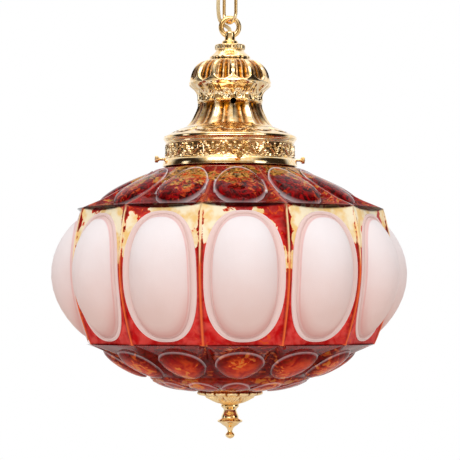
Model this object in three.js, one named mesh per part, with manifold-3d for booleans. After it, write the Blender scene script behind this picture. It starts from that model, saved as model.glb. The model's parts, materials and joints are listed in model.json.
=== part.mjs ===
// Ceiling lamp: a moulded ruby glass shade with twelve frosted ovals under a cast brass crown,
// hung by a short brass chain from a ceiling canopy.
// Millimetres, +Z up, front towards -Y. The origin is the middle of the ceiling plane.
import * as THREE from "three";
import { mergeVertices } from "three/addons/utils/BufferGeometryUtils.js";
import Module from "manifold-3d";

const wasm = await Module();
wasm.setup();

// Fits, and how far a cutter passes the faces that it cuts
const gap = 0.3;
const overcut = 1;

// Threaded tube, nuts and stamped sheet that several pieces share
const tubeRadius = 5;
const tubeBoreRadius = 3.4;
const nutWidth = 14;
const nutThickness = 3.5;
const sheetWall = 1.6;

// Ceiling fixing
const barEnd = 4;
const barWidth = 18;
const barThickness = 3;
const barSlotSpacing = 82;
const barSlotLength = 10;
const barSlotWidth = 5;
const canopyRadius = 63.5;
const canopyHeight = 36;
const canopySeatRadius = 9.5;

// Cast loops: one under the canopy and one on top of the lamp
const loopRadius = 13.2;
const loopWire = 6;
const nozzleRadius = 6.15;
const nozzleRise = 7.7;
const nozzleFoot = 2;
const collarRadius = 9.2;
const collarHeight = 4.9;
const collarBevel = 1;
const collarSocketDepth = 3.7;
const cordBoreRadius = 2.75;

// Chain
const linkCount = 3;
const linkWidth = 28;
const linkLength = 50;
const linkWire = 4;
const canopyLoopTurn = 34;

// Supply cord
const cordDiameter = 4;
const cordSteps = 64;

// Crown
const rosetteRimRadius = 17.5;
const rosetteRadius = 23.5;
const rosetteHeight = 16.4;
const rosetteTopBevel = 1.5;
const rosettePetals = 12;
const petalDepth = 1.2;
const crownTopRadius = 22.5;
const crownDomeRadius = 46.4;
const crownNeckRadius = 36.1;
const crownFootRadius = 55;
const crownHeight = 80.3;
const crownWall = 1.8;
const fluteCount = 12;
const fluteDepth = 2.4;
const fluteTurn = 4.5;
const crownHoleRadius = 3.45;
const crownHoleDepth = 47.4;
const crownHoleTurn = 6;
const crownHoleRun = 20;

// Gallery that holds the shade by its lip
const galleryHeight = 43.5;
const shadeLipClearance = 1.5;
const corniceProud = 1.7;
const galleryLipProud = 2.9;
const gallerySeatWidth = 7;
const galleryStep = 1.4;
const scallopDepth = 1;
const panDepth = 12.4;
const panThickness = 2;
const ventCount = 4;
const ventRadius = 5;
const ventCircle = 45;

// Thumbscrews
const screwCount = 4;
const screwTurn = 7;
const screwRise = 8.4;
const screwRadius = 1.5;
const screwTipClearance = 1.5;
const screwHeadClearance = 5.2;
const screwHeadRadius = 3.85;
const screwHeadLength = 4.3;
const screwBevel = 0.6;

// Bulb
const capRadius = 13;
const capLength = 22.5;
const capWall = 0.6;
const capShoulder = 2.5;
const buttonRadius = 4.7;
const buttonHeight = 2.6;
const buttonSink = 0.8;
const bulbRadius = 30;
const bulbLength = 102;
const bulbWall = 1;
const bulbSeatDepth = 6;
const bulbNeckLength = 16.3;

// Lampholder, built outwards from the bulb's cap
const capClearance = 0.7;
const screwShellWall = 0.6;
const screwShellLength = 23;
const sleeveWall = 1.6;
const holderWall = 1.1;
const holderCapHeight = 21;
const holderNeckHeight = 8;
const holderNeckWall = 2.3;
const holderLength = 36;
const holderOverlap = 4;
const insulatorThickness = 10;
const contactRadius = 3.5;
const contactProud = 1.2;
const contactBevel = 0.6;

// Glass shade
const panelCount = 12;
const panelTurn = 5;
const glassWall = 3.5;
const shadeLipRadius = 71.3;
const shadeLipHeight = 5.7;
const shadeLipOverhang = 5.8;
const shadeLipBevel = 1.6;
const shadeLipThickness = 7.7;
const shadeNeckHeight = 13.5;
const shoulderHeight = 5;
const shoulderWidth = 20.4;
const upperOvalLength = 64.1;
const upperOvalTopHalfWidth = 19;
const upperOvalBottomHalfWidth = 28;
const shelfWidth = 26.3;
const shelfDrop = 8;
const shelfRise = 2.6;
const upperTierHeight = 45.4;
const cornerRise = 3.3;
const upperLensHeight = 8.6;
const ridgeDip = 1.9;
const middleTierHeight = 150.1;
const ribBulge = 14.2;
const frostedBulge = 25.4;
const frostedHalfWidth = 36.6;
const frostedHalfHeight = 67;
const rimBandRise = 2.4;
const rimBandHalfWidth = 45;
const rimBandHalfHeight = 70.5;
const ovalFullness = 2.6;
const lowerCornerInset = 10.3;
const flangeWidth = 21.7;
const flangeHeight = 6.9;
const lowerOvalLength = 52.3;
const lowerOvalTopHalfWidth = 30.5;
const lowerOvalBottomHalfWidth = 21;
const lowerTierHeight = 30.1;
const lowerLensHeight = 8.2;
const lowerValleyRise = 5.3;
const petalTierLength = 51;
const petalTierHeight = 16.2;
const petalLensHeight = 2.8;
const glassFootHeight = 0.7;
const glassFootBevel = 4;
const glassHoleRadius = 6.5;

// Bottom fixing and finial
const studRadius = 2;
const studTopLength = 8.5;
const studBottomLength = 20.5;
const plateRadius = 30;
const plateThickness = 1.5;
const smallNutWidth = 8;
const smallNutThickness = 3.2;
const sealRadius = 12;
const sealThickness = 1.5;
const cupRadius = 37.8;
const cupHeight = 13.9;
const cupFootRadius = 10.3;
const cupLobes = 16;
const lobeDepth = 1.5;
const finialRadius = 14.3;
const finialHeight = 39.2;

// How finely round pieces are faceted
const fine = 48;
const wide = 36;
const medium = 24;
const coarse = 20;
const small = 16;

const degree = Math.PI / 180;
const panelAngle = 360 / panelCount;

// Radii that follow from these
const shadeNeckRadius = shadeLipRadius - shadeLipOverhang;
const collarEdgeRadius = shadeNeckRadius + shoulderWidth;
const upperOvalRadius = collarEdgeRadius + upperOvalLength;
const upperCornerRadius = upperOvalRadius + shelfWidth;
const lowerCornerRadius = upperCornerRadius - lowerCornerInset;
const lowerOvalRadius = lowerCornerRadius - flangeWidth;
const petalEdgeRadius = lowerOvalRadius - lowerOvalLength;
const glassFootRadius = petalEdgeRadius - petalTierLength;
const bandRadius = shadeLipRadius + shadeLipClearance + sheetWall;
const corniceRadius = bandRadius + corniceProud;
const galleryLipRadius = bandRadius + galleryLipProud;
const screwReach = shadeNeckRadius + screwTipClearance;
const screwLength = galleryLipRadius + screwHeadClearance + screwHeadLength - screwReach;
const screwShellRadius = capRadius + capClearance + screwShellWall;
const sleeveRadius = screwShellRadius + gap + sleeveWall;
const holderShellRadius = sleeveRadius + gap + holderWall;
const holderRadius = holderShellRadius + gap + holderWall;

// Finishes
const polishedBrass = { color: 0xd8a94a, roughness: 0.2, metalness: 1 };
const castBrass = { color: 0xcc9d48, roughness: 0.34, metalness: 1 };
const plainBrass = { color: 0xbf9a55, roughness: 0.4, metalness: 1 };
const platedSteel = { color: 0xb4b4ae, roughness: 0.38, metalness: 1 };
const rubyGlass = {
  color: 0x9c1420,
  roughness: 0.08,
  metalness: 0,
  transparent: true,
  opacity: 0.7,
};
const opalGlass = { color: 0xf4f1ea, roughness: 0.3, metalness: 0 };
const glazedPorcelain = { color: 0xf1ede2, roughness: 0.25, metalness: 0 };
const brownFibre = { color: 0x8a6b4a, roughness: 0.85, metalness: 0 };
const corkSheet = { color: 0xa9805a, roughness: 0.9, metalness: 0 };
const goldFlex = { color: 0xd9bb72, roughness: 0.4, metalness: 0 };

// Merges shared vertices, drops slivers at the axis and turns every face outwards.
function closed(geometry) {
  geometry.deleteAttribute("normal");
  geometry.deleteAttribute("uv");
  const merged = mergeVertices(geometry, 1e-4);
  const index = Array.from(merged.index.array);
  const faces = [];
  for (let i = 0; i < index.length; i += 3) {
    const [a, b, c] = index.slice(i, i + 3);
    if (a !== b && b !== c && c !== a) faces.push([a, b, c]);
  }
  const place = merged.attributes.position;
  const corner = (i) => new THREE.Vector3().fromBufferAttribute(place, i);
  const volume = faces.reduce(
    (sum, [a, b, c]) => sum + corner(a).dot(corner(b).cross(corner(c))),
    0,
  );
  merged.setIndex(faces.flatMap(([a, b, c]) => (volume < 0 ? [a, c, b] : [a, b, c])));
  return merged;
}

// A closed skin through a grid of points that meets itself along its rows and round its columns.
// Each cell is split one way, or the other way where splitBack(column) is true.
function skin(rows, columns, pointAt, splitBack = () => false) {
  const positions = [];
  const faces = [];
  for (let row = 0; row < rows; row++) {
    for (let column = 0; column < columns; column++) {
      positions.push(...pointAt(row, column));
      const a = row * columns + column;
      const b = row * columns + ((column + 1) % columns);
      const c = ((row + 1) % rows) * columns + ((column + 1) % columns);
      const d = ((row + 1) % rows) * columns + column;
      if (splitBack(column)) faces.push(a, b, d, b, c, d);
      else faces.push(a, b, c, a, c, d);
    }
  }
  const geometry = new THREE.BufferGeometry();
  geometry.setAttribute("position", new THREE.Float32BufferAttribute(positions, 3));
  geometry.setIndex(faces);
  return closed(geometry);
}

// Turns an outline of [radius, depth] points about Z. Depth is measured downwards.
function turned(outline, around = fine) {
  const points = outline.map(([radius, depth]) => new THREE.Vector2(radius, -depth));
  if (outline[0][0] > 0) points.push(points[0].clone());
  return closed(new THREE.LatheGeometry(points, around).rotateX(Math.PI / 2));
}

// Turns an outline whose radius also changes round the axis: shift(row, angle) is added to it.
function turnedWithRelief(outline, around, startTurn, shift) {
  return skin(outline.length, around, (row, column) => {
    const angle = startTurn + (360 * column) / around;
    const radius = outline[row][0] + shift(row, angle);
    return [...onCircle(radius, angle), -outline[row][1]];
  });
}

// A point on a circle about Z. The angle starts at the front, -Y, and grows towards +X.
function onCircle(radius, angle) {
  return [radius * Math.sin(angle * degree), -radius * Math.cos(angle * degree)];
}

// The closed outline of a sheet of even thickness whose outer face follows the points given.
// The inner face leaves out the points whose numbers are listed, where a coarser bend will do.
function sheet(outer, wall, leftOut = []) {
  const inner = outer.map(([radius, depth], i) => {
    const before = outer[Math.max(i - 1, 0)];
    const after = outer[Math.min(i + 1, outer.length - 1)];
    const along = new THREE.Vector2(after[0] - before[0], after[1] - before[1]).normalize();
    return [radius - wall * along.y, depth + wall * along.x];
  });
  return [...outer, ...inner.filter((point, i) => !leftOut.includes(i)).reverse()];
}

// Stretches an outline drawn in a unit square to a real radius and height.
function stretched(outline, radius, height, top = 0) {
  return outline.map(([across, down]) => [across * radius, top + down * height]);
}

function tubeOutline(outerRadius, innerRadius, top, length) {
  return [
    [outerRadius, top],
    [outerRadius, top + length],
    [innerRadius, top + length],
    [innerRadius, top],
  ];
}

// 0 on a ridge and 1 in the groove between two ridges.
function groove(angle, count, ridgeAngle) {
  return 0.5 - 0.5 * Math.cos(count * (angle - ridgeAngle) * degree);
}

function solidOf(geometry) {
  return new wasm.Manifold(
    new wasm.Mesh({
      numProp: 3,
      vertProperties: geometry.attributes.position.array,
      triVerts: new Uint32Array(geometry.index.array),
    }),
  );
}

function geometryOf(solid) {
  const mesh = solid.getMesh();
  const geometry = new THREE.BufferGeometry();
  geometry.setAttribute("position", new THREE.BufferAttribute(mesh.vertProperties, 3));
  geometry.setIndex(new THREE.BufferAttribute(mesh.triVerts, 1));
  return geometry;
}

function cut(geometry, tools) {
  const rest = tools.reduce((left, tool) => left.subtract(solidOf(tool)), solidOf(geometry));
  return geometryOf(rest);
}

function join(geometries) {
  return geometryOf(geometries.map(solidOf).reduce((all, next) => all.add(next)));
}

// A cylinder that points outwards from the Z axis at an angle from the front.
function radialPin(radius, from, to, depth, angle, sides) {
  const pin = new THREE.CylinderGeometry(radius, radius, to - from, sides);
  pin.translate(0, (from + to) / 2, 0);
  pin.rotateZ(Math.PI + angle * degree);
  pin.translate(0, 0, -depth);
  return closed(pin);
}

function piece(name, geometry, finish, depth = 0) {
  geometry.computeVertexNormals();
  const mesh = new THREE.Mesh(geometry, new THREE.MeshStandardMaterial(finish));
  mesh.name = name;
  mesh.position.z = -depth;
  return mesh;
}

function hexNut(width, boreRadius, thickness) {
  const shape = new THREE.Shape();
  for (let side = 0; side < 6; side++) {
    const angle = side * 60 * degree;
    const reach = width / 2 / Math.cos(30 * degree);
    const point = [reach * Math.cos(angle), reach * Math.sin(angle)];
    if (side) shape.lineTo(...point);
    else shape.moveTo(...point);
  }
  const hole = new THREE.Path().absarc(0, 0, boreRadius, 0, 2 * Math.PI, true);
  shape.holes.push(hole);
  const nut = new THREE.ExtrudeGeometry(shape, {
    depth: thickness,
    bevelEnabled: false,
    curveSegments: coarse / 2,
  });
  return closed(nut.translate(0, 0, -thickness));
}

// Ceiling fixing

function mountingBar() {
  const barLength = barSlotSpacing + barSlotLength + 2 * barEnd;
  const bar = new THREE.BoxGeometry(barLength, barWidth, barThickness);
  bar.translate(0, 0, -barThickness / 2);
  const bore = turned(
    [
      [0, -overcut],
      [tubeRadius + gap, -overcut],
      [tubeRadius + gap, barThickness + overcut],
      [0, barThickness + overcut],
    ],
    coarse,
  );
  const slots = [-1, 1].map((side) => {
    const shape = new THREE.Shape();
    const straight = (barSlotLength - barSlotWidth) / 2;
    shape.absarc(straight, 0, barSlotWidth / 2, -Math.PI / 2, Math.PI / 2);
    shape.absarc(-straight, 0, barSlotWidth / 2, Math.PI / 2, 1.5 * Math.PI);
    const slot = new THREE.ExtrudeGeometry(shape, {
      depth: barThickness + 2 * overcut,
      bevelEnabled: false,
      curveSegments: 8,
    });
    slot.translate((side * barSlotSpacing) / 2, 0, -barThickness - overcut);
    return closed(slot);
  });
  return piece("mounting_bar", cut(closed(bar), [bore, ...slots]), platedSteel);
}

const canopyOutline = [
  [1, 0],
  [1, 0.09],
  [0.95, 0.2],
  [0.9, 0.34],
  [0.77, 0.56],
  [0.58, 0.76],
  [0.38, 0.9],
  [0.22, 0.965],
];

function ceilingCanopy() {
  const outer = stretched(canopyOutline, canopyRadius, canopyHeight);
  outer.push([canopySeatRadius, canopyHeight], [tubeRadius + gap, canopyHeight]);
  const shell = turned(sheet(outer, sheetWall, [1, 3, 6, 8]), wide);
  return piece("ceiling_canopy", shell, polishedBrass);
}

const canopyLoopTop = canopyHeight + gap;
const canopyTubeTop = gap;
const canopyTubeLength = canopyLoopTop + collarSocketDepth - gap - canopyTubeTop;

function canopyFixing() {
  const tube = tubeOutline(tubeRadius, tubeBoreRadius, 0, canopyTubeLength);
  const nut = hexNut(nutWidth, tubeRadius + gap, nutThickness);
  return [
    piece("canopy_tube", turned(tube, coarse), plainBrass, canopyTubeTop),
    piece("canopy_locknut", nut, plainBrass, barThickness + gap),
  ];
}

// Loops and chain

const loopRingDiameter = 2 * loopRadius;
const loopHeight = loopRingDiameter + nozzleFoot + collarHeight;
const ringCentreRadius = loopRadius - loopWire / 2;

// A cast ring with a nozzle and collar under it. Its ring's top is at depth 0.
function castLoop(name) {
  const ring = new THREE.TorusGeometry(ringCentreRadius, loopWire / 2, 8, coarse);
  ring.rotateX(Math.PI / 2).translate(0, 0, -loopRadius);
  const collarTop = loopRingDiameter + nozzleFoot;
  const stem = turned(
    [
      [0, loopRingDiameter - nozzleRise],
      [nozzleRadius, loopRingDiameter - nozzleRise],
      [nozzleRadius, collarTop],
      [collarRadius - collarBevel, collarTop],
      [collarRadius, collarTop + collarHeight * 0.3],
      [collarRadius, collarTop + collarHeight * 0.7],
      [collarRadius - collarBevel, loopHeight],
      [0, loopHeight],
    ],
    coarse,
  );
  const bore = turned(
    [
      [0, loopRadius],
      [cordBoreRadius, loopRadius],
      [cordBoreRadius, loopHeight - collarSocketDepth],
      [tubeRadius + gap, loopHeight - collarSocketDepth],
      [tubeRadius + gap, loopHeight + overcut],
      [0, loopHeight + overcut],
    ],
    coarse,
  );
  return piece(name, cut(join([closed(ring), stem]), [bore]), polishedBrass);
}

// A round-ended link in the XZ plane with its top at depth 0.
function chainLink(name) {
  const bend = (linkWidth - linkWire) / 2;
  const straight = (linkLength - linkWire) / 2 - bend;
  const bendSteps = 12;
  const wireSides = 8;
  const pointAt = (row, side) => {
    const upper = row < bendSteps + 1;
    const step = upper ? row : row - bendSteps - 1;
    const along = ((upper ? 0 : 180) + (180 * step) / bendSteps) * degree;
    const reach = bend + (linkWire / 2) * Math.cos((360 * side * degree) / wireSides);
    const x = reach * Math.cos(along);
    const z = reach * Math.sin(along) + (upper ? straight : -straight) - linkLength / 2;
    return [x, (linkWire / 2) * Math.sin((360 * side * degree) / wireSides), z];
  };
  return piece(name, skin(2 * (bendSteps + 1), wireSides, pointAt), polishedBrass);
}

// The points of the arc at the end of a hanging ring or link, opening up or down.
function endArc(radius, turn, height, direction) {
  const points = [];
  for (let angle = -115; angle <= 115; angle += 1) {
    const across = radius * Math.sin(angle * degree);
    const rise = direction * radius * (1 - Math.cos(angle * degree));
    points.push([across * Math.cos(turn * degree), across * Math.sin(turn * degree), height + rise]);
  }
  return points;
}

// How far the top of a lower ring's centre line stands above the bottom of the upper one's when
// the two wires hang the fitting gap apart.
function hangOverlap(upperRadius, lowerRadius, turnBetween, wires) {
  const upper = endArc(upperRadius, turnBetween, 0, 1);
  const nearest = (lift) =>
    Math.min(
      ...endArc(lowerRadius, 0, lift, -1).map((p) =>
        Math.min(...upper.map((q) => Math.hypot(p[0] - q[0], p[1] - q[1], p[2] - q[2]))),
      ),
    );
  let low = 0;
  let high = wires * 4;
  while (high - low > 0.01) {
    const lift = (low + high) / 2;
    if (nearest(lift) < wires + gap) low = lift;
    else high = lift;
  }
  return high;
}

const linkBend = (linkWidth - linkWire) / 2;
const linkCentreLength = linkLength - linkWire;
const loopAndLinkWires = (loopWire + linkWire) / 2;
const canopyRingDepth = canopyLoopTop + loopHeight - loopWire / 2;
const quarterTurn = 90;
const lastLinkTurn = canopyLoopTurn + (linkCount % 2 ? -quarterTurn : 0);

// Depth of the centre line at the top of each link.
const linkTops = [canopyRingDepth - loopAndLinkWires - gap];
for (let i = 1; i < linkCount; i++) {
  linkTops.push(linkTops[i - 1] + linkCentreLength - linkWire - gap);
}
const chainBottom = linkTops[linkCount - 1] + linkCentreLength;
const lampLift = hangOverlap(linkBend, ringCentreRadius, lastLinkTurn, loopAndLinkWires);
const lampTop = chainBottom - lampLift - loopWire / 2;

function chain() {
  return linkTops.map((top, i) => {
    const link = chainLink("chain_link_" + (i + 1));
    link.rotation.z = (canopyLoopTurn - quarterTurn * ((i + 1) % 2)) * degree;
    link.position.z = -(top - linkWire / 2);
    return link;
  });
}

function canopyLoop() {
  const loop = castLoop("canopy_loop");
  loop.rotation.set(Math.PI, 0, -canopyLoopTurn * degree);
  loop.position.z = -(canopyLoopTop + loopHeight);
  return loop;
}

// Depths in the lamp, measured from the top of its loop

const rosetteTop = loopHeight + gap;
const crownTop = rosetteTop + rosetteHeight + gap;
const crownBottom = crownTop + crownHeight;
const galleryTop = crownBottom + gap;
const panTop = galleryTop + panDepth;
const panBottom = panTop + panThickness;
const screwDepth = galleryHeight - screwRise;
const screwLevel = galleryTop + screwDepth;
const lampTubeTop = loopHeight - collarSocketDepth + gap;
const lowerNutBottom = panBottom + gap + nutThickness;
const holderTop = lowerNutBottom + gap;
const lampTubeBottom = holderTop + holderNeckHeight + 1;
const shadeTop = screwLevel - screwRadius - gap - shadeLipHeight;

// Crown

function crownRosette() {
  const outline = [
    [tubeRadius + gap, 0],
    [rosetteRimRadius - rosetteTopBevel, 0],
    [rosetteRimRadius, 1.2],
    [rosetteRimRadius, rosetteHeight * 0.4],
    [rosetteRimRadius - 1.4, rosetteHeight * 0.48],
    [rosetteRimRadius + 0.8, rosetteHeight * 0.66],
    [rosetteRadius, rosetteHeight * 0.88],
    [rosetteRadius - 0.6, rosetteHeight],
    [tubeRadius + gap, rosetteHeight],
  ];
  const petalRows = [6, 7];
  const petals = (row, angle) =>
    petalRows.includes(row) ? -petalDepth * groove(angle, rosettePetals, fluteTurn) : 0;
  const skinned = turnedWithRelief(outline, 3 * rosettePetals, fluteTurn, petals);
  return piece("crown_rosette", skinned, castBrass, rosetteTop);
}

// Rows of the crown's outer face: radius, share of the height, and share of the flute depth.
function crownRows() {
  const dome = crownDomeRadius;
  const neck = crownNeckRadius;
  const foot = crownFootRadius;
  return [
    [crownTopRadius, 0, 0],
    [dome * 0.69, 0.036, 0.8],
    [dome * 0.851, 0.105, 1],
    [dome * 0.93, 0.18, 1],
    [dome * 0.963, 0.233, 0.3],
    [dome, 0.318, 0],
    [dome, 0.36, 0],
    [dome * 0.963, 0.405, 0],
    [neck + 3, 0.46, 0],
    [neck, 0.55, 0],
    [neck + 1.1, 0.618, 0],
    [neck, 0.661, 0.1],
    [foot * 0.718, 0.789, 0.6],
    [foot * 0.822, 0.918, 0.5],
    [foot * 0.885, 0.96, 0.4],
    [foot, 1, 0],
  ].map(([radius, down, flute]) => [radius, down * crownHeight, flute * fluteDepth]);
}

function crown() {
  const outer = crownRows();
  const innerRows = [2, 5, 7, 9, 11, 12, 14, 15];
  const inner = outer
    .filter((row, i) => innerRows.includes(i))
    .map(([radius, depth, flute]) => [radius - flute - crownWall, depth])
    .reverse();
  inner.push([crownTopRadius - 1, crownWall]);
  const outline = [...outer, ...inner, [tubeRadius + gap, crownWall], [tubeRadius + gap, 0]];
  const flutes = (row, angle) =>
    row < outer.length ? -outer[row][2] * groove(angle, fluteCount, fluteTurn) : 0;
  const body = turnedWithRelief(outline, 3 * fluteCount, fluteTurn, flutes);
  const hole = radialPin(
    crownHoleRadius,
    crownNeckRadius - crownHoleRun / 2,
    crownNeckRadius + crownHoleRun / 2,
    crownHoleDepth,
    crownHoleTurn,
    coarse,
  );
  return piece("crown", cut(body, [hole]), castBrass, crownTop);
}

// Gallery, pan and screws

const screwAngles = [];
for (let i = 0; i < screwCount; i++) screwAngles.push(screwTurn + (360 / screwCount) * i);

function galleryOuter() {
  const h = galleryHeight;
  return [
    [crownFootRadius - gallerySeatWidth, 0],
    [crownFootRadius + galleryStep, 0.3],
    [(crownFootRadius + corniceRadius) / 2 + 0.8, h * 0.078],
    [corniceRadius - 0.9, h * 0.15],
    [corniceRadius, h * 0.2],
    [corniceRadius, h * 0.245],
    [bandRadius, h * 0.335],
    [bandRadius, h * 0.68],
    [(bandRadius + galleryLipRadius) / 2 - 0.3, h * 0.73],
    [galleryLipRadius - 0.5, h * 0.88],
    [galleryLipRadius, h * 0.95],
    [galleryLipRadius, h],
  ];
}

function galleryBand() {
  const outer = galleryOuter();
  const scallopRows = [2, 3];
  const scallops = (row, angle) =>
    scallopRows.includes(row) ? -scallopDepth * groove(angle, fluteCount, fluteTurn) : 0;
  const outline = sheet(outer, sheetWall, [1, 4, 5, 8, 9]);
  const body = turnedWithRelief(outline, 3 * fluteCount, fluteTurn, scallops);
  const from = bandRadius - sheetWall - overcut;
  const to = galleryLipRadius + overcut;
  const holes = screwAngles.map((angle) =>
    radialPin(screwRadius + gap, from, to, screwDepth, angle, 12),
  );
  return piece("gallery_band", cut(body, holes), castBrass, galleryTop);
}

function holderPan() {
  const panRadius = bandRadius - sheetWall - gap;
  const outline = tubeOutline(panRadius, tubeRadius + gap, 0, panThickness);
  const disc = turnedWithRelief(outline, 3 * fluteCount, fluteTurn, () => 0);
  const vents = [];
  for (let i = 0; i < ventCount; i++) {
    const vent = new THREE.CylinderGeometry(ventRadius, ventRadius, panThickness + 2 * overcut, 10);
    const [x, y] = onCircle(ventCircle, (i + 0.5) * (360 / ventCount));
    vents.push(closed(vent.rotateX(Math.PI / 2).translate(x, y, -panThickness / 2)));
  }
  return piece("holder_pan", cut(disc, vents), plainBrass, panTop);
}

function thumbscrews() {
  return screwAngles.map((angle, i) => {
    const head = screwLength - screwHeadLength;
    const outline = [
      [0, 0],
      [screwRadius - screwBevel, 0],
      [screwRadius, screwBevel],
      [screwRadius, head],
      [screwHeadRadius - screwBevel, head],
      [screwHeadRadius, head + screwBevel],
      [screwHeadRadius, screwLength - screwBevel],
      [screwHeadRadius - screwBevel, screwLength],
      [0, screwLength],
    ];
    const screw = piece("thumbscrew_" + (i + 1), turned(outline, small), polishedBrass, screwLevel);
    screw.geometry.rotateX(-Math.PI / 2).rotateZ(angle * degree);
    const [x, y] = onCircle(screwReach, angle);
    screw.position.x = x;
    screw.position.y = y;
    return screw;
  });
}

// Tube, nuts and lampholder

function lampTube() {
  const length = lampTubeBottom - lampTubeTop;
  const tube = turned(tubeOutline(tubeRadius, tubeBoreRadius, 0, length), coarse);
  const nut = () => hexNut(nutWidth, tubeRadius + gap, nutThickness);
  return [
    piece("lamp_tube", tube, plainBrass, lampTubeTop),
    piece("upper_locknut", nut(), plainBrass, crownTop + crownWall + gap),
    piece("lower_locknut", nut(), plainBrass, panBottom + gap),
  ];
}

const insulatorTop = holderTop + holderCapHeight;
const holderShellTop = insulatorTop - holderOverlap;
const insulatorBottom = insulatorTop + insulatorThickness;
const contactBottom = insulatorBottom + contactProud;

function lampholder() {
  const neckBore = tubeRadius + gap;
  const domeHeight = holderCapHeight - holderNeckHeight;
  const dome = [
    [holderRadius * 0.62, holderNeckHeight],
    [holderRadius * 0.86, holderNeckHeight + domeHeight * 0.17],
    [holderRadius, holderNeckHeight + domeHeight * 0.42],
    [holderRadius, holderCapHeight],
  ];
  const cap = [
    [neckBore, 0],
    [neckBore + holderNeckWall, 0],
    [neckBore + holderNeckWall, holderNeckHeight - 1],
    ...sheet(dome, holderWall),
    [neckBore, holderNeckHeight + holderWall],
  ];
  const sleeveLength = holderShellTop + holderLength - insulatorBottom - gap;
  const sleeve = tubeOutline(sleeveRadius, screwShellRadius + gap, 0, sleeveLength);
  const shell = tubeOutline(holderShellRadius, sleeveRadius + gap, 0, holderLength);
  const insulator = tubeOutline(sleeveRadius, contactRadius + gap, 0, insulatorThickness);
  const screwShell = tubeOutline(
    screwShellRadius,
    screwShellRadius - screwShellWall,
    0,
    screwShellLength,
  );
  const contactLength = insulatorThickness + contactProud;
  const contact = [
    [0, 0],
    [contactRadius, 0],
    [contactRadius, contactLength - contactBevel],
    [contactRadius - contactBevel, contactLength],
    [0, contactLength],
  ];
  return [
    piece("holder_cap", turned(cap, medium), polishedBrass, holderTop),
    piece("holder_shell", turned(shell, medium), polishedBrass, holderShellTop),
    piece("holder_insulator", turned(insulator, medium), glazedPorcelain, insulatorTop),
    piece("holder_sleeve", turned(sleeve, medium), brownFibre, insulatorBottom + gap),
    piece("screw_shell", turned(screwShell, medium), plainBrass, insulatorBottom + gap),
    piece("centre_contact", turned(contact, 12), plainBrass, insulatorTop),
  ];
}

// Bulb

const bulbTop = contactBottom + gap;
const bulbOutline = [
  [0.46, 0.27],
  [0.66, 0.42],
  [0.9, 0.57],
  [1, 0.7],
  [0.97, 0.8],
  [0.84, 0.9],
  [0.6, 0.965],
  [0.3, 0.993],
];

function bulb() {
  const button = [
    [0, 0],
    [buttonRadius * 0.6, buttonHeight * 0.08],
    [buttonRadius, buttonHeight * 0.6],
    [buttonRadius, buttonHeight + buttonSink],
    [0, buttonHeight + buttonSink],
  ];
  const capTop = sheet(
    [
      [buttonRadius + gap, 0],
      [capRadius * 0.7, 0],
      [capRadius, capShoulder],
      [capRadius, capLength],
    ],
    capWall,
  );
  const neckRadius = capRadius - capWall - gap;
  const outer = [
    [neckRadius, 0],
    [neckRadius, bulbNeckLength],
    ...stretched(bulbOutline, bulbRadius, bulbLength),
  ];
  const wall = sheet(outer, bulbWall);
  const outside = wall.slice(0, outer.length).reverse();
  const inside = wall.slice(outer.length).reverse();
  const glass = [[0, bulbLength], ...outside, ...inside, [0, bulbLength - bulbWall]];
  return [
    piece("bulb_contact", turned(button, small), platedSteel, bulbTop),
    piece("bulb_cap", turned(capTop, medium), platedSteel, bulbTop + buttonHeight),
    piece("bulb_glass", turned(glass, medium), opalGlass, bulbTop + buttonHeight + bulbSeatDepth),
  ];
}

// Glass shade

const neckBottom = shadeLipHeight + shadeNeckHeight - shoulderHeight;
const collarEdge = shadeLipHeight + shadeNeckHeight + glassFootHeight;
const upperEdge = collarEdge + upperTierHeight + cornerRise;
const lowerEdge = upperEdge + middleTierHeight;
const ovalEdge = lowerEdge + flangeHeight;
const petalEdge = ovalEdge + lowerTierHeight;
const footEdge = petalEdge + petalTierHeight;
const shadeHeight = footEdge + glassFootHeight;

function mix(a, b, share) {
  return a + (b - a) * share;
}

// The height of a lens on an oval, at an offset from its middle. An oval of fullness 2 is an
// ellipse, and a fuller one has broader shoulders.
function lens(height, along, across, power, fullness = 2) {
  const reach = Math.pow(Math.abs(along) ** fullness + Math.abs(across) ** fullness, 1 / fullness);
  return height * Math.pow(Math.max(0, 1 - reach * reach), power);
}

// A point of a slope, raised at right angles to it: upwards with side -1, downwards with side 1.
function raised(radius, depth, height, run, fall, side) {
  const slope = Math.hypot(run, fall);
  return [radius + (height * fall) / slope, depth + (side * height * run) / slope];
}

// Places across a panel, from -1 at one rib to 1 at the next. They follow the rim of its oval, and
// the places within it lie at a share of the rim that suits how steep its lens is.
const panelColumns = 6;
const leastRim = 0.4;
const mostRim = 0.92;
const ringRim = 0.7;
const steepInside = 0.84;
const roundInside = 0.58;

function panelPlaces(rim, inside) {
  const outer = Math.min(Math.max(rim, leastRim), mostRim);
  const inner = outer * inside;
  return [-1, -outer, -inner, 0, inner, outer];
}

// Where the rim of an oval lies at a height in it from -1 to 1, as a share of its panel.
function rimShare(height, halfWidth, radius, fullness = 2) {
  const left = Math.max(0, 1 - Math.abs(height) ** fullness);
  const across = halfWidth * Math.pow(left, 1 / fullness);
  return across / (radius * Math.sin((panelAngle / 2) * degree));
}

// A flat between two ribs lies nearer the axis than the ribs do.
function onFlat(cornerRadius, share) {
  const half = (panelAngle / 2) * degree;
  return (cornerRadius * Math.cos(half)) / Math.cos(half * share);
}

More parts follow.
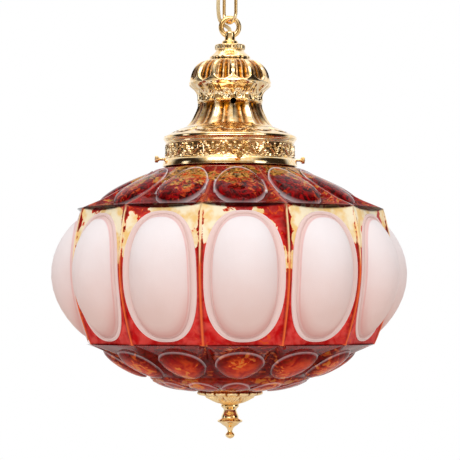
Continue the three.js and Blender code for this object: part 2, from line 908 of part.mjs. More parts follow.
// Upper tier: twelve ovals on a sloping ring, with ridges that rise between them to the corners.
function upperTier(along, share) {
  const edgeRadius = onFlat(upperCornerRadius, share);
  const radius = mix(collarEdgeRadius, edgeRadius, along);
  const ovalShare = (radius - collarEdgeRadius) / upperOvalLength;
  const ovalSlope = Math.min(ovalShare, 1) * (upperTierHeight + cornerRise - shelfRise);
  const shelf = Math.max(0, ovalShare - 1) * shelfDrop;
  const ridge = along * upperTierHeight + ridgeDip * Math.sin(Math.PI * along);
  const towardsRidge = share * share;
  const halfWidth = mix(upperOvalTopHalfWidth, upperOvalBottomHalfWidth, ovalShare);
  const across = (share * (panelAngle / 2) * degree * radius) / halfWidth;
  const fullness = Math.pow(2 * Math.min(ovalShare, 1), 0.65);
  const bulge = fullness * lens(upperLensHeight, 2 * ovalShare - 1, across, 0.35);
  const depth = collarEdge + mix(ovalSlope + shelf, ridge, towardsRidge);
  return raised(radius, depth, bulge, upperOvalLength, upperTierHeight, -1);
}

function upperRim(along) {
  const radius = mix(collarEdgeRadius, onFlat(upperCornerRadius, 0), along);
  const ovalShare = (radius - collarEdgeRadius) / upperOvalLength;
  const halfWidth = mix(upperOvalTopHalfWidth, upperOvalBottomHalfWidth, ovalShare);
  return rimShare(2 * ovalShare - 1, halfWidth, radius);
}

// Middle tier: twelve tall frosted ovals between bowed ribs.
function ribRadius(along) {
  return mix(upperCornerRadius, lowerCornerRadius, along) + ribBulge * Math.sin(Math.PI * along);
}

function middleTier(along, share) {
  const flat = onFlat(ribRadius(along), share);
  const across = flat * Math.sin(share * (panelAngle / 2) * degree);
  const middle = upperEdge + middleTierHeight / 2;
  const top = mix(upperEdge, collarEdge + upperTierHeight, share * share);
  const depth = mix(top, lowerEdge, along);
  const below = depth - middle;
  const onOval = (halfHeight, halfWidth) => [below / halfHeight, across / halfWidth];
  const frosted = onOval(frostedHalfHeight, frostedHalfWidth);
  const around = onOval(rimBandHalfHeight, rimBandHalfWidth);
  const dome = lens(frostedBulge, ...frosted, 0.75, ovalFullness);
  const band = lens(rimBandRise, ...around, 0.3, ovalFullness);
  return [flat + Math.max(dome, band), depth];
}

function middleRim(along) {
  const below = (along - 0.5) * middleTierHeight;
  return rimShare(below / frostedHalfHeight, frostedHalfWidth, ribRadius(along), ovalFullness);
}

// Lower tier: twelve ovals that curve in under the shade.
function lowerTier(along, share) {
  const radius = mix(lowerOvalRadius, petalEdgeRadius, along);
  const halfWidth = mix(lowerOvalTopHalfWidth, lowerOvalBottomHalfWidth, along);
  const across = (share * (panelAngle / 2) * degree * radius) / halfWidth;
  const bulge = lens(lowerLensHeight, 2 * along - 1, across, 0.5);
  const valley = lowerValleyRise * Math.pow(share, 6) * (1 - Math.pow(along, 1.7));
  const depth = mix(ovalEdge, petalEdge, along) - valley;
  return raised(radius, depth, bulge, lowerOvalLength, lowerTierHeight, 1);
}

function lowerRim(along) {
  const radius = mix(lowerOvalRadius, petalEdgeRadius, along);
  const halfWidth = mix(lowerOvalTopHalfWidth, lowerOvalBottomHalfWidth, along);
  return rimShare(2 * along - 1, halfWidth, radius);
}

// Petals: twelve small ovals round the foot.
function petalTier(along, share) {
  const radius = mix(petalEdgeRadius, glassFootRadius, along);
  const bulge = lens(petalLensHeight, 2 * along - 1, share * 1.1, 0.5);
  return [radius, mix(petalEdge, footEdge, Math.sqrt(along)) + bulge];
}

// Rows of one tier at shares of its length. Each has the place of its oval's rim, and how far the
// inner face lies from the outer point, inwards and downwards, or nothing where it has no row.
function tierRows(tier, rim, inside, shares, outerOnly, shiftAt) {
  return shares.map((along) => ({
    at: (share) => tier(along, share),
    places: panelPlaces(rim(along), inside),
    inner: outerOnly.includes(along) ? null : shiftAt(along),
  }));
}

function ringRow(radius, depth, inner) {
  return { at: () => [radius, depth], places: panelPlaces(ringRim, roundInside), inner };
}

function shadeRows() {
  const slope = glassWall * 0.72;
  const steep = slope + 0.6;
  const bevel = shadeLipBevel;
  const lift = (along) => glassWall * ((along === 0) - (along === 1));
  const shoulderRadius = (shadeNeckRadius + collarEdgeRadius) / 2;
  return [
    ringRow(shadeLipRadius - bevel, 0, [shadeLipThickness, 0]),
    ringRow(shadeLipRadius, bevel),
    ringRow(shadeLipRadius, shadeLipHeight - bevel / 2),
    ringRow(shadeLipRadius - bevel / 2, shadeLipHeight),
    ringRow(shadeNeckRadius, shadeLipHeight),
    ringRow(shadeNeckRadius, neckBottom, [glassWall, 2.2]),
    ringRow(shoulderRadius, collarEdge - 2.3, [2, glassWall]),
    ...tierRows(
      upperTier,
      upperRim,
      steepInside,
      [0, 0.2, 0.45, 0.65, 0.74, 0.78],
      [0.2, 0.74],
      () => [slope, steep],
    ),
    ...tierRows(
      middleTier,
      middleRim,
      roundInside,
      [0, 0.08, 0.15, 0.27, 0.42, 0.6, 0.76, 0.88, 0.95, 1],
      [0.08, 0.42, 0.95],
      (along) => [glassWall, lift(along)],
    ),
    ...tierRows(
      lowerTier,
      lowerRim,
      steepInside,
      [0, 0.1, 0.35, 0.65, 0.9, 1],
      [0, 1],
      () => [slope, -steep],
    ),
    ...tierRows(petalTier, () => ringRim, steepInside, [0.35, 1], [], () => [1, -glassWall]),
    ringRow(glassFootRadius - glassFootBevel, shadeHeight, [0, -glassWall]),
    ringRow(glassHoleRadius, shadeHeight, [0, -glassWall]),
  ];
}

function glassShade() {
  const rows = shadeRows();
  const innerRows = rows.filter((row) => row.inner).reverse();
  const path = [
    ...rows.map((row) => ({ ...row, shift: [0, 0] })),
    ...innerRows.map((row) => ({ ...row, shift: row.inner })),
  ];
  const columns = panelColumns * panelCount;
  const pointAt = (row, column) => {
    const { at, places, shift } = path[row];
    const share = places[column % panelColumns];
    const angle = panelTurn + panelAngle * (Math.floor(column / panelColumns) + share / 2);
    const [radius, depth] = at(share);
    const [inwards, downwards] = shift;
    return [...onCircle(radius - inwards, angle), -(depth + downwards)];
  };
  const leftHalf = (column) => column % panelColumns < panelColumns / 2;
  const shell = skin(path.length, columns, pointAt, leftHalf);
  return piece("glass_shade", shell, rubyGlass, shadeTop);
}

// Bottom fixing and finial

const shadeBottom = shadeTop + shadeHeight;
const glassFloor = shadeBottom - glassWall;
const plateTop = glassFloor - gap - plateThickness;
const smallNutTop = plateTop - gap - smallNutThickness;
const cupTop = shadeBottom + gap;
const finialTop = cupTop + cupHeight + gap;

function bottomFixing() {
  const boreRadius = studRadius + gap;
  const studLength = studTopLength + glassWall + studBottomLength;
  const stud = [
    [0, 0],
    [studRadius, 0],
    [studRadius, studLength],
    [0, studLength],
  ];
  const plate = tubeOutline(plateRadius, boreRadius, 0, plateThickness);
  const seal = tubeOutline(sealRadius, boreRadius, 0, sealThickness);
  const nut = hexNut(smallNutWidth, boreRadius, smallNutThickness);
  return [
    piece("bottom_stud", turned(stud, small), plainBrass, glassFloor - studTopLength),
    piece("inner_plate", turned(plate, medium), plainBrass, plateTop),
    piece("inner_nut", nut, plainBrass, smallNutTop),
    piece("cork_seal", turned(seal, coarse), corkSheet, shadeBottom + gap),
  ];
}

function finialCup() {
  const outer = [
    [cupRadius, 0],
    [cupRadius, 1.4],
    [cupRadius * 0.85, cupHeight * 0.26],
    [cupRadius * 0.667, cupHeight * 0.44],
    [cupRadius * 0.5, cupHeight * 0.72],
    [cupFootRadius, cupHeight],
    [studRadius + gap, cupHeight],
  ];
  const outline = sheet(outer, sheetWall, [1, 3]);
  const last = outline.length - 1;
  outline[last] = [cupRadius - sheetWall * 1.6, 0];
  const lobedRows = 2;
  const lobes = (row, angle) =>
    row < lobedRows ? -lobeDepth * groove(angle, cupLobes, fluteTurn) : 0;
  const cup = turnedWithRelief(outline, 2 * cupLobes, fluteTurn, lobes);
  return piece("finial_cup", cup, castBrass, cupTop);
}

const finialOutline = [
  [0.58, 0],
  [0.64, 0.05],
  [0.58, 0.1],
  [0.49, 0.17],
  [0.55, 0.28],
  [0.68, 0.37],
  [0.72, 0.42],
  [1, 0.46],
  [1, 0.5],
  [0.68, 0.54],
  [0.55, 0.62],
  [0.24, 0.71],
  [0.18, 0.765],
  [0.27, 0.8],
  [0.37, 0.88],
  [0.27, 0.96],
  [0.1, 0.996],
];

function finial() {
  const boreRadius = studRadius + gap;
  const boreDepth = studBottomLength - (finialTop - shadeBottom) + gap;
  const outer = stretched(finialOutline, finialRadius, finialHeight);
  const outline = [
    [0, boreDepth],
    [boreRadius, boreDepth],
    [boreRadius, 0],
    ...outer,
    [0, finialHeight],
  ];
  return piece("finial", turned(outline, coarse), polishedBrass, finialTop);
}

// Supply cord

// The free stretch of the cord is chosen by hand. It leaves the canopy's loop, passes beside the
// top link, through the middle one and beside the bottom one, and comes into the lamp's loop from
// behind. Each point is [x, y, depth].
const cordRoute = [
  [0, 0, canopyTubeTop + 0.4],
  [0, 0, 20],
  [0, 0, 40],
  [0, 0, 47],
  [0.1, -0.1, 51],
  [1.9, -1.6, 54.8],
  [5.6, -3.9, 57.2],
  [9.8, -4.9, 62],
  [12.8, -4.3, 71],
  [13.4, -3.4, 84],
  [12, -5.2, 97],
  [8.9, -8.3, 107.5],
  [5.2, -7.8, 117],
  [0, 0, 126.5],
  [-5.2, 7.8, 136],
  [-9.2, 9.2, 145],
  [-12.6, 7.4, 154],
  [-13.6, 4.4, 166],
  [-13.4, 4, 177],
  [-11.9, 6.2, 186],
  [-8, 7.4, 191.4],
  [-3.6, 5.2, 194.6],
  [-1, 1.7, 197.4],
  [-0.1, 0.1, 201],
  [0, 0, 205],
  [0, 0, 213],
  [0, 0, 250],
  [0, 0, 300],
  [0, 0, 340],
];

function supplyCord() {
  const route = new THREE.CatmullRomCurve3(
    cordRoute.map(([x, y, depth]) => new THREE.Vector3(x, y, -depth)),
  );
  const section = new THREE.Shape();
  for (let side = 0; side < 8; side++) {
    const angle = (side * 45 + 22.5) * degree;
    const point = [(cordDiameter / 2) * Math.cos(angle), (cordDiameter / 2) * Math.sin(angle)];
    if (side) section.lineTo(...point);
    else section.moveTo(...point);
  }
  const tube = new THREE.ExtrudeGeometry(section, {
    steps: cordSteps,
    extrudePath: route,
    bevelEnabled: false,
  });
  return piece("supply_cord", closed(tube), goldFlex);
}

const lamp = new THREE.Group();
lamp.position.z = -lampTop;
lamp.add(
  castLoop("lamp_loop"),
  crownRosette(),
  crown(),
  galleryBand(),
  holderPan(),
  ...thumbscrews(),
  ...lampTube(),
  ...lampholder(),
  ...bulb(),
  glassShade(),
  ...bottomFixing(),
  finialCup(),
  finial(),
);

const ceilingLamp = new THREE.Group();
ceilingLamp.add(
  mountingBar(),
  ceilingCanopy(),
  ...canopyFixing(),
  canopyLoop(),
  ...chain(),
  supplyCord(),
  lamp,
);

export default ceilingLamp;
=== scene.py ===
import json
import math

import bmesh
import bpy
import numpy as np
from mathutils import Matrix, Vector


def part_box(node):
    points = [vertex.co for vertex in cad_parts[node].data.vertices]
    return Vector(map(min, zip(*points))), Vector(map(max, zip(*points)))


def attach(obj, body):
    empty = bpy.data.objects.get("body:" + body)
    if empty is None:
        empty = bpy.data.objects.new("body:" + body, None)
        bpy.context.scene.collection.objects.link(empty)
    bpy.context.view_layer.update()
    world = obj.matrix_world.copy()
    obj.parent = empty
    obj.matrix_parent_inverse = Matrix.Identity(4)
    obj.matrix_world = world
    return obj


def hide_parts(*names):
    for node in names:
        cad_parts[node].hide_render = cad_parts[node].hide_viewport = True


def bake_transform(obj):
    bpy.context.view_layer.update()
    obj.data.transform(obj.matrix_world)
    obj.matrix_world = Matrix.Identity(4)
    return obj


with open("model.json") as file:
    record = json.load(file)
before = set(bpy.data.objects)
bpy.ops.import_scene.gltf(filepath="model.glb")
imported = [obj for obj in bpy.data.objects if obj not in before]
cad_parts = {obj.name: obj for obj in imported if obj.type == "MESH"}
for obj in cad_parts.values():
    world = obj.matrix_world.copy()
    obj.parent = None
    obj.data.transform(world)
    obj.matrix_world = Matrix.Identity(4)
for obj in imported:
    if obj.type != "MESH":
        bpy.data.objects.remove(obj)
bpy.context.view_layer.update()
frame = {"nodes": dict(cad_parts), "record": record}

MM = 0.001
LAMP_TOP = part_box("lamp_loop")[1].z / MM


def depth_span(node):
    """The depths of a node's top and bottom below the top of the lamp, in mm."""
    low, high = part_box(node)
    return LAMP_TOP - high.z / MM, LAMP_TOP - low.z / MM


def height_of(depth):
    """The height in metres of a depth in mm."""
    return (LAMP_TOP - depth) * MM


# The photograph, its camera and the floor
PHOTO_PIXELS = 460
MM_PER_PIXEL = 1.145
LOOP_TOP_PIXEL = 14.7
EYE_LEVEL_PIXEL = 312
MIDDLE_PIXEL = 230
CAMERA_DISTANCE = 2633
SENSOR = 36
FLOOR_DEPTH, FLOOR_REACH = 900, 3000

# Glass shade. An oval's near end is the one that its tier starts with, from the top.
SHADE_BOTTOM = depth_span("glass_shade")[1]
PANELS = 12
PANEL_TURN = 5
HALF_PANEL = math.pi / PANELS
SIDE_STEPS = 20
GLASS_WALL = 3.5
LIP_RADIUS, LIP_DEPTH = 71.3, 158.6
NECK_RADIUS = 65.5
COLLAR_RADIUS, COLLAR_DEPTH = 85.9, 178.2
UPPER_KNEE_RADIUS, UPPER_KNEE_DEPTH = 151.1, 213.3
EDGE_RADIUS, EDGE_DEPTH = 176.3, 223.6
EDGE_DROP = 3.3
LOWER_EDGE_RADIUS, LOWER_EDGE_DEPTH = 166, 377
LOWER_KNEE_RADIUS, LOWER_KNEE_DEPTH = 144.3, 381
LOWER_BOW = 2.5
RIB_BULGE = 14.2
PETAL_EDGE_RADIUS, PETAL_EDGE_DEPTH = 92, 414
FOOT_RADIUS, FOOT_DEPTH = 41, 430
HOLE_RADIUS = 6.5
BEAD_WIDTH, BEAD_HEIGHT = 1.2, 1.1
MIDDLE_BEAD_HEIGHT, PETAL_BEAD_HEIGHT = 0.7, 0.8
UPPER_OVAL = {"near": 88.5, "far": 150, "half": 26.8, "egg": 0.22, "slope": 0.719, "bulge": 8.6}
MIDDLE_OVAL = {"depth": 302, "half": 36.6, "height": 67, "outer_half": 44.4, "outer_height": 70.5,
               "bulge": 25.2, "fullness": 2.45, "band_lift": 1.4}
LOWER_OVAL = {"near": LOWER_KNEE_RADIUS, "far": 93.5, "half": 25.6, "egg": -0.2, "slope": 0.575,
              "bulge": 8, "depth": 383.9}
PETAL = {"near": 88, "far": 45, "half": 16, "point": 0.55, "bulge": 2.6}
UPPER_RIB = {"near": 0.94, "near_end": 0.97, "rise": 0.8}
MIDDLE_RIB = {"near": 0.955, "near_end": 0.975, "rise": 1.6}
LOWER_RIB = {"near": 0.95, "near_end": 0.96, "rise": 0}

# What the shade's mesh tells its material, and the shares that name its bead and its last two rings.
# Only frosted and band are the glass's own; the others are painted light and shade: highlights on
# the outlines and ribs, a gold reflection, shade on the glass and in its creases, and a shadow inside
# the frosted ovals' lower rims.
MARKS = ("frosted", "rim", "band", "gilt", "deep", "ridge", "soft", "line")
BAND_CREST = 1.94
NEAR_SHARE, EDGE_SHARE = 8, 9

# Castings: crown, rosette, gallery and cup
CAST_SECTOR = 60
FLUTE_PITCH = 30
FLUTE_TURN = 4.5
TUBE_BORE = 5.3
CROWN_WALL, ROSETTE_WALL, GALLERY_WALL, CUP_WALL = 3.4, 9, 2.6, 1.8
CROWN_HOLE_TURN = 6
CROWN_HOLE_RADIUS = 3.45
CROWN_HOLE_DEPTH = 101
BAND_PITCH = 20
CUP_TOP, CUP_BOTTOM = depth_span("finial_cup")
CUP_SECTOR = 45
CUP_LOBES = 16

# Thumbscrews
SCREW_COUNT = 4
SCREW_TURN = 7
SCREW_LEVEL = 166
SCREW_TIP, SCREW_END = 66.4, 86.5
SCREW_STEM = 1.5
SCREW_HEAD = 3.85
HEAD_LENGTH = 3.7
KNURLS = 24

# Chain, loops, canopy and flex
LINK_WIDTH, LINK_LENGTH, LINK_WIRE = 28, 50, 4
LOOP_WIDTH, LOOP_WIRE = 26.4, 6
CHAIN_TURN = 34
CANOPY_WALL = 1.2
FLEX_WIDTH, FLEX_THICKNESS = 4.4, 2.4
FLEX_STEP = 1.2
FLEX_SIDES = 24
STRAND_PITCH = 3


def photo_depth(pixel):
    """The depth in mm of a row of the photograph, for a point beside the lamp's axis."""
    return (pixel - LOOP_TOP_PIXEL) * MM_PER_PIXEL


def add_camera():
    eye = height_of(photo_depth(EYE_LEVEL_PIXEL))
    aim = height_of(photo_depth(MIDDLE_PIXEL))
    distance = CAMERA_DISTANCE * MM
    data = bpy.data.cameras.new("camera")
    data.sensor_width = SENSOR
    data.lens = SENSOR * CAMERA_DISTANCE / (PHOTO_PIXELS * MM_PER_PIXEL)
    camera = bpy.data.objects.new("camera", data)
    camera.location = (0, -distance, eye)
    camera.rotation_euler = (math.pi / 2 + math.atan2(aim - eye, distance), 0, 0)
    bpy.context.scene.collection.objects.link(camera)
    bpy.context.scene.camera = camera


add_camera()


# Colours, nodes and materials

def srgb(hex_colour):
    """An sRGB hex colour as linear red, green, blue and alpha."""
    channels = [int(hex_colour[i:i + 2], 16) / 255 for i in (1, 3, 5)]
    linear = [c / 12.92 if c <= 0.04045 else ((c + 0.055) / 1.055) ** 2.4 for c in channels]
    return (*linear, 1.0)


def add(tree, kind, settings=None, links=None):
    """Adds a node. Settings are its own values or its inputs', and links are its inputs' sources."""
    node = tree.nodes.new(kind)
    for name, value in (settings or {}).items():
        if isinstance(name, str) and hasattr(node, name):
            setattr(node, name, value)
        else:
            node.inputs[name].default_value = value
    for name, source in (links or {}).items():
        tree.links.new(source, node.inputs[name])
    return node


def per_mm(size):
    """The scale of a texture whose cells are that many millimetres across."""
    return 1 / (size * MM)


def new_material(name, values):
    made = bpy.data.materials.new(name)
    made.use_nodes = True
    tree = made.node_tree
    shader = tree.nodes["Principled BSDF"]
    for socket, value in values.items():
        shader.inputs[socket].default_value = value
    place = add(tree, "ShaderNodeTexCoord").outputs["Object"]
    return made, tree, shader, place


def noise(tree, place, size, detail=3.0, distortion=0.0):
    settings = {"Scale": per_mm(size), "Detail": detail, "Distortion": distortion}
    return add(tree, "ShaderNodeTexNoise", settings, {"Vector": place}).outputs["Fac"]


def ramp(tree, source, low, high, dark=0.0, light=1.0):
    """Maps low..high of a source onto dark..light, smoothly."""
    settings = {"interpolation_type": "SMOOTHSTEP", "From Min": low, "From Max": high,
                "To Min": dark, "To Max": light}
    return add(tree, "ShaderNodeMapRange", settings, {"Value": source}).outputs["Result"]


def blend_colours(tree, share, first, second):
    """Mixes two colours, each a hex value or another node's output."""
    node = add(tree, "ShaderNodeMix", {"data_type": "RGBA"}, {0: share})
    for slot, colour in ((6, first), (7, second)):
        if isinstance(colour, str):
            node.inputs[slot].default_value = srgb(colour)
        else:
            tree.links.new(colour, node.inputs[slot])
    return node.outputs[2]


def blend_values(tree, share, first, second):
    node = add(tree, "ShaderNodeMix", {"data_type": "FLOAT"}, {0: share})
    for slot, value in ((2, first), (3, second)):
        if isinstance(value, (int, float)):
            node.inputs[slot].default_value = value
        else:
            tree.links.new(value, node.inputs[slot])
    return node.outputs[0]


def attribute(tree, name):
    return add(tree, "ShaderNodeAttribute", {"attribute_name": name}).outputs["Fac"]


def bump(tree, shader, height, distance, strength=1.0):
    settings = {"Strength": strength, "Distance": distance * MM}
    node = add(tree, "ShaderNodeBump", settings, {"Height": height})
    tree.links.new(node.outputs["Normal"], shader.inputs["Normal"])


def polished_brass():
    """Turned brass, buffed and lacquered: clear reflections, broken by faint wiping marks."""
    made, tree, shader, place = new_material("brass_polished", {"Metallic": 1.0})
    tone = ramp(tree, noise(tree, place, 14), 0.35, 0.7)
    tree.links.new(blend_colours(tree, tone, "#FCD28C", "#FFE6B8"), shader.inputs["Base Color"])
    marks = ramp(tree, noise(tree, place, 2.5, 6), 0.4, 0.65)
    tree.links.new(blend_values(tree, marks, 0.1, 0.19), shader.inputs["Roughness"])
    bump(tree, shader, noise(tree, place, 5), 0.05, 0.25)
    return made


def cast_brass():
    """Brass cast in sand and polished on its high places: hollows keep a brown patina, and on the crown's
    bell the same brown is also painted shade under the neck's ring. The grain of the sand is drawn
    coarser than the real one so that it shows."""
    made, tree, shader, place = new_material("brass_cast", {"Metallic": 1.0})
    high = attribute(tree, "relief")
    worn = ramp(tree, noise(tree, place, 3.5, 5), 0.3, 0.7)
    bright = blend_colours(tree, worn, "#FFD48E", "#FFEECC")
    patina = blend_colours(tree, worn, "#4A2608", "#C07418")
    colour = blend_colours(tree, ramp(tree, high, 0.0, 0.58), patina, bright)
    tree.links.new(colour, shader.inputs["Base Color"])
    rough = blend_values(tree, ramp(tree, high, 0.1, 0.7), 0.32, 0.12)
    tree.links.new(rough, shader.inputs["Roughness"])
    bump(tree, shader, noise(tree, place, 1.6, 4), 0.12, 0.45)
    return made


def satin_cast_brass():
    """Cast brass left satin, as on the cup under the glass: soft gold with a fine grain, which is
    drawn coarser than the real one so that it shows."""
    made, tree, shader, place = new_material("brass_cast_satin", {"Metallic": 1.0})
    high = attribute(tree, "relief")
    colour = blend_colours(tree, ramp(tree, high, 0.0, 0.6), "#A8662A", "#FFE2AC")
    tree.links.new(colour, shader.inputs["Base Color"])
    rough = blend_values(tree, noise(tree, place, 1.2, 4), 0.28, 0.42)
    tree.links.new(rough, shader.inputs["Roughness"])
    bump(tree, shader, noise(tree, place, 0.9, 4), 0.1, 0.5)
    return made


def plain_brass():
    """Drawn and stamped brass, unpolished: dull, with a fine uneven grain."""
    made, tree, shader, place = new_material("brass_plain", {"Metallic": 1.0})
    tone = ramp(tree, noise(tree, place, 6, 4), 0.3, 0.7)
    tree.links.new(blend_colours(tree, tone, "#B08A48", "#CFA860"), shader.inputs["Base Color"])
    tree.links.new(blend_values(tree, tone, 0.32, 0.46), shader.inputs["Roughness"])
    bump(tree, shader, noise(tree, place, 0.6), 0.04, 0.4)
    return made


def plated_steel():
    """Mild steel, zinc plated: cool grey with a mottled spangle."""
    made, tree, shader, place = new_material("steel_zinc_plated", {"Metallic": 1.0})
    settings = {"Scale": per_mm(3)}
    cells = add(tree, "ShaderNodeTexVoronoi", settings, {"Vector": place}).outputs["Distance"]
    tree.links.new(blend_colours(tree, cells, "#A9ACAE", "#CFD1CF"), shader.inputs["Base Color"])
    tree.links.new(blend_values(tree, cells, 0.28, 0.45), shader.inputs["Roughness"])
    return made


def ruby_glass():
    """Soda glass pressed in a mould and stained ruby. Its ovals are frosted with acid, which makes them
    milky, and its clear parts look wet. Light and shade are painted into its colour: a painted gold
    reflection high on the panels, painted highlights along the ribs and the ovals' outlines, painted
    shade over the clear glass and in its creases, the lower tier painted a warmer orange-red as if lit
    through, and frosted ovals painted lighter at the top, pinker towards the bottom and shadowed inside
    their lower rims. The index and specular level are below glass's own, because more of them lays a
    haze on the ruby."""
    values = {"IOR": 1.16, "Specular IOR Level": 0.35}
    made, tree, shader, place = new_material("glass_ruby_moulded", values)
    frosted, rim, band, gilt = [attribute(tree, name) for name in ("frosted", "rim", "band", "gilt")]
    deep, ridge, soft, line = [attribute(tree, name) for name in ("deep", "ridge", "soft", "line")]
    height = add(tree, "ShaderNodeSeparateXYZ", {}, {0: place}).outputs["Z"]
    patches = ramp(tree, noise(tree, place, 44, 2), 0.42, 0.54)
    splashes = ramp(tree, noise(tree, place, 12, 4, 0.8), 0.3, 0.7)
    sprinkled = ramp(tree, noise(tree, place, 9, 5, 1.2), 0.35, 0.7, 0, 0.5)
    streaks = noise(tree, place, 8, 5, 1.6)
    below = ramp(tree, height, height_of(386), height_of(372))
    ruby = blend_colours(tree, splashes, "#D20C10", "#F0524A")
    # Painted light: the lower tier's ruby is a warmer orange-red, as if lit through from above.
    warm = blend_colours(tree, splashes, "#A80A04", "#E04A18")
    # Painted shade: where the painted shade mask is high, the ruby turns almost black, in random streaks.
    dark = blend_colours(tree, ramp(tree, streaks, 0.35, 0.7), "#340003", "#B0040A")
    clear = blend_colours(tree, deep, blend_colours(tree, below, warm, ruby), dark)
    # Painted reflection: a gold sheen, mottled by noise, where a light above would be reflected, strongest
    # high on the panels: brown-gold on the upper tier, cream on the middle one, orange on the lower, with
    # an orange fringe.
    uneven = add(tree, "ShaderNodeMath", {"operation": "ADD"}, {0: patches, 1: sprinkled}).outputs[0]
    painted_sheen_level = add(tree, "ShaderNodeMath", {"operation": "ADD"}, {0: uneven, 1: gilt}).outputs[0]
    golden = ramp(tree, painted_sheen_level, 1.5, 1.6)
    amber = blend_colours(tree, ramp(tree, streaks, 0.38, 0.62), "#3E1A04", "#CE9040")
    pale = blend_colours(tree, ramp(tree, noise(tree, place, 18), 0.4, 0.62), "#FFF2D2", "#F8D086")
    pale = blend_colours(tree, below, "#DC7C30", pale)
    above = ramp(tree, height, height_of(EDGE_DEPTH + 2), height_of(EDGE_DEPTH - 2))
    cream = blend_colours(tree, above, pale, amber)
    clear = blend_colours(tree, ramp(tree, painted_sheen_level, 1.34, 1.54), clear, "#EA5420")
    clear = blend_colours(tree, golden, clear, cream)
    # Painted highlight along the ribs: orange, turning cream where the painted reflection is strong.
    edge = blend_colours(tree, ramp(tree, gilt, 0.45, 0.8), "#F6763A", "#FFE9B4")
    clear = blend_colours(tree, ridge, clear, edge)
    # Painted shade in creases: a near-black line along the tiers' edges, round the upper ovals and in the
    # gaps between the lower ones.
    clear = blend_colours(tree, line, clear, "#240406")
    ringed = blend_colours(tree, band, clear, "#EFD3CD")
    # Painted light on the frosted ovals: whiter towards the top of the shade and pinker towards the bottom,
    # with random clouding.
    rise = ramp(tree, height, height_of(365), height_of(240))
    cloudy = blend_values(tree, noise(tree, place, 22, 3), -0.12, 0.12)
    rise = add(tree, "ShaderNodeMath", {"operation": "ADD"}, {0: rise, 1: cloudy}).outputs[0]
    milky = blend_colours(tree, rise, "#E6C6BE", "#EFE7E8")
    etched = blend_colours(tree, frosted, ringed, milky)
    # Painted shadow inside the lower rim of each frosted oval.
    shaded = blend_colours(tree, soft, etched, "#D8A199")
    # Painted highlight: the thin outline round each oval, near white.
    tree.links.new(blend_colours(tree, rim, shaded, "#FBF0F2"), shader.inputs["Base Color"])
    rough = blend_values(tree, band, 0.03, 0.3)
    rough = blend_values(tree, frosted, rough, 0.45)
    tree.links.new(blend_values(tree, rim, rough, 0.2), shader.inputs["Roughness"])
    through = blend_values(tree, deep, 0.15, 0.35)
    for share, value in ((golden, 0.12), (ridge, 0.1), (line, 0.2), (band, 0.1), (frosted, 0.04),
                         (rim, 0.1)):
        through = blend_values(tree, share, through, value)
    tree.links.new(through, shader.inputs["Transmission Weight"])
    wave = noise(tree, place, 11, 2)
    grain = noise(tree, place, 0.9, 3)
    bump(tree, shader, blend_values(tree, frosted, wave, grain), 0.35, 0.5)
    return made


def opal_glass():
    """Blown glass with a white powder inside: milky and even."""
    made, tree, shader, place = new_material("glass_opal", {"Roughness": 0.22})
    tone = noise(tree, place, 12)
    tree.links.new(blend_colours(tree, tone, "#EDEAE3", "#F6F4EF"), shader.inputs["Base Color"])
    return made


def glazed_porcelain():
    """Fired porcelain with a clear glaze: off-white and glossy, slightly wavy."""
    made, tree, shader, place = new_material("porcelain_glazed", {"Roughness": 0.15})
    tone = noise(tree, place, 5)
    tree.links.new(blend_colours(tree, tone, "#E9E4D8", "#F4F1E8"), shader.inputs["Base Color"])
    bump(tree, shader, tone, 0.1, 0.3)
    return made


def brown_fibre():
    """Vulcanised fibre, rolled into a sleeve: dull brown with paper fibres."""
    made, tree, shader, place = new_material("fibre_vulcanised", {"Roughness": 0.8})
    tone = ramp(tree, noise(tree, place, 0.8, 6), 0.3, 0.7)
    tree.links.new(blend_colours(tree, tone, "#6F5238", "#967452"), shader.inputs["Base Color"])
    bump(tree, shader, tone, 0.06, 0.5)
    return made


def cut_cork():
    """Agglomerated cork, cut from sheet: pressed granules of several browns."""
    made, tree, shader, place = new_material("cork_cut", {"Roughness": 0.9})
    settings = {"Scale": per_mm(1.8)}
    grains = add(tree, "ShaderNodeTexVoronoi", settings, {"Vector": place})
    tone = add(tree, "ShaderNodeSeparateColor", {}, {0: grains.outputs["Color"]}).outputs[0]
    tree.links.new(blend_colours(tree, tone, "#7F5A3A", "#C29B70"), shader.inputs["Base Color"])
    bump(tree, shader, grains.outputs["Distance"], 0.2, 0.6)
    return made


def gold_flex():
    """Clear gold PVC over two stranded copper cores: glossy, with the strands showing through."""
    values = {"Roughness": 0.18, "Transmission Weight": 0.12, "IOR": 1.53}
    made, tree, shader, place = new_material("flex_clear_gold", values)
    twist = add(tree, "ShaderNodeUVMap", {"uv_map": "along"}).outputs["UV"]
    settings = {"Scale": 1.0, "Distortion": 0.6, "bands_direction": "DIAGONAL"}
    strands = add(tree, "ShaderNodeTexWave", settings, {"Vector": twist}).outputs["Fac"]
    tree.links.new(blend_colours(tree, strands, "#C9A86A", "#EFDFB4"), shader.inputs["Base Color"])
    bump(tree, shader, strands, 0.12, 0.4)
    return made


def pale_floor():
    """Painted board, plain and dull, and as white in reflections as it looks."""
    made, tree, shader, place = new_material("board_painted", {"Roughness": 0.8})
    tone = noise(tree, place, 900)
    tree.links.new(blend_colours(tree, tone, "#E6E3DF", "#EFEDEA"), shader.inputs["Base Color"])
    return made


POLISHED = polished_brass()
CAST = cast_brass()
SATIN = satin_cast_brass()
PLAIN = plain_brass()
STEEL = plated_steel()
RUBY = ruby_glass()
OPAL = opal_glass()
PORCELAIN = glazed_porcelain()
FIBRE = brown_fibre()
CORK = cut_cork()
FLEX = gold_flex()


# Meshes

def smooth(low, high, value):
    """0 below low, 1 above high, and a smooth step between."""
    share = np.clip((np.asarray(value, float) - low) / (high - low), 0, 1)
    return share * share * (3 - 2 * share)


def hump(value, middle, width):
    """A rounded ridge of height 1 about the middle."""
    return np.exp(-(((np.asarray(value, float) - middle) / width) ** 2))


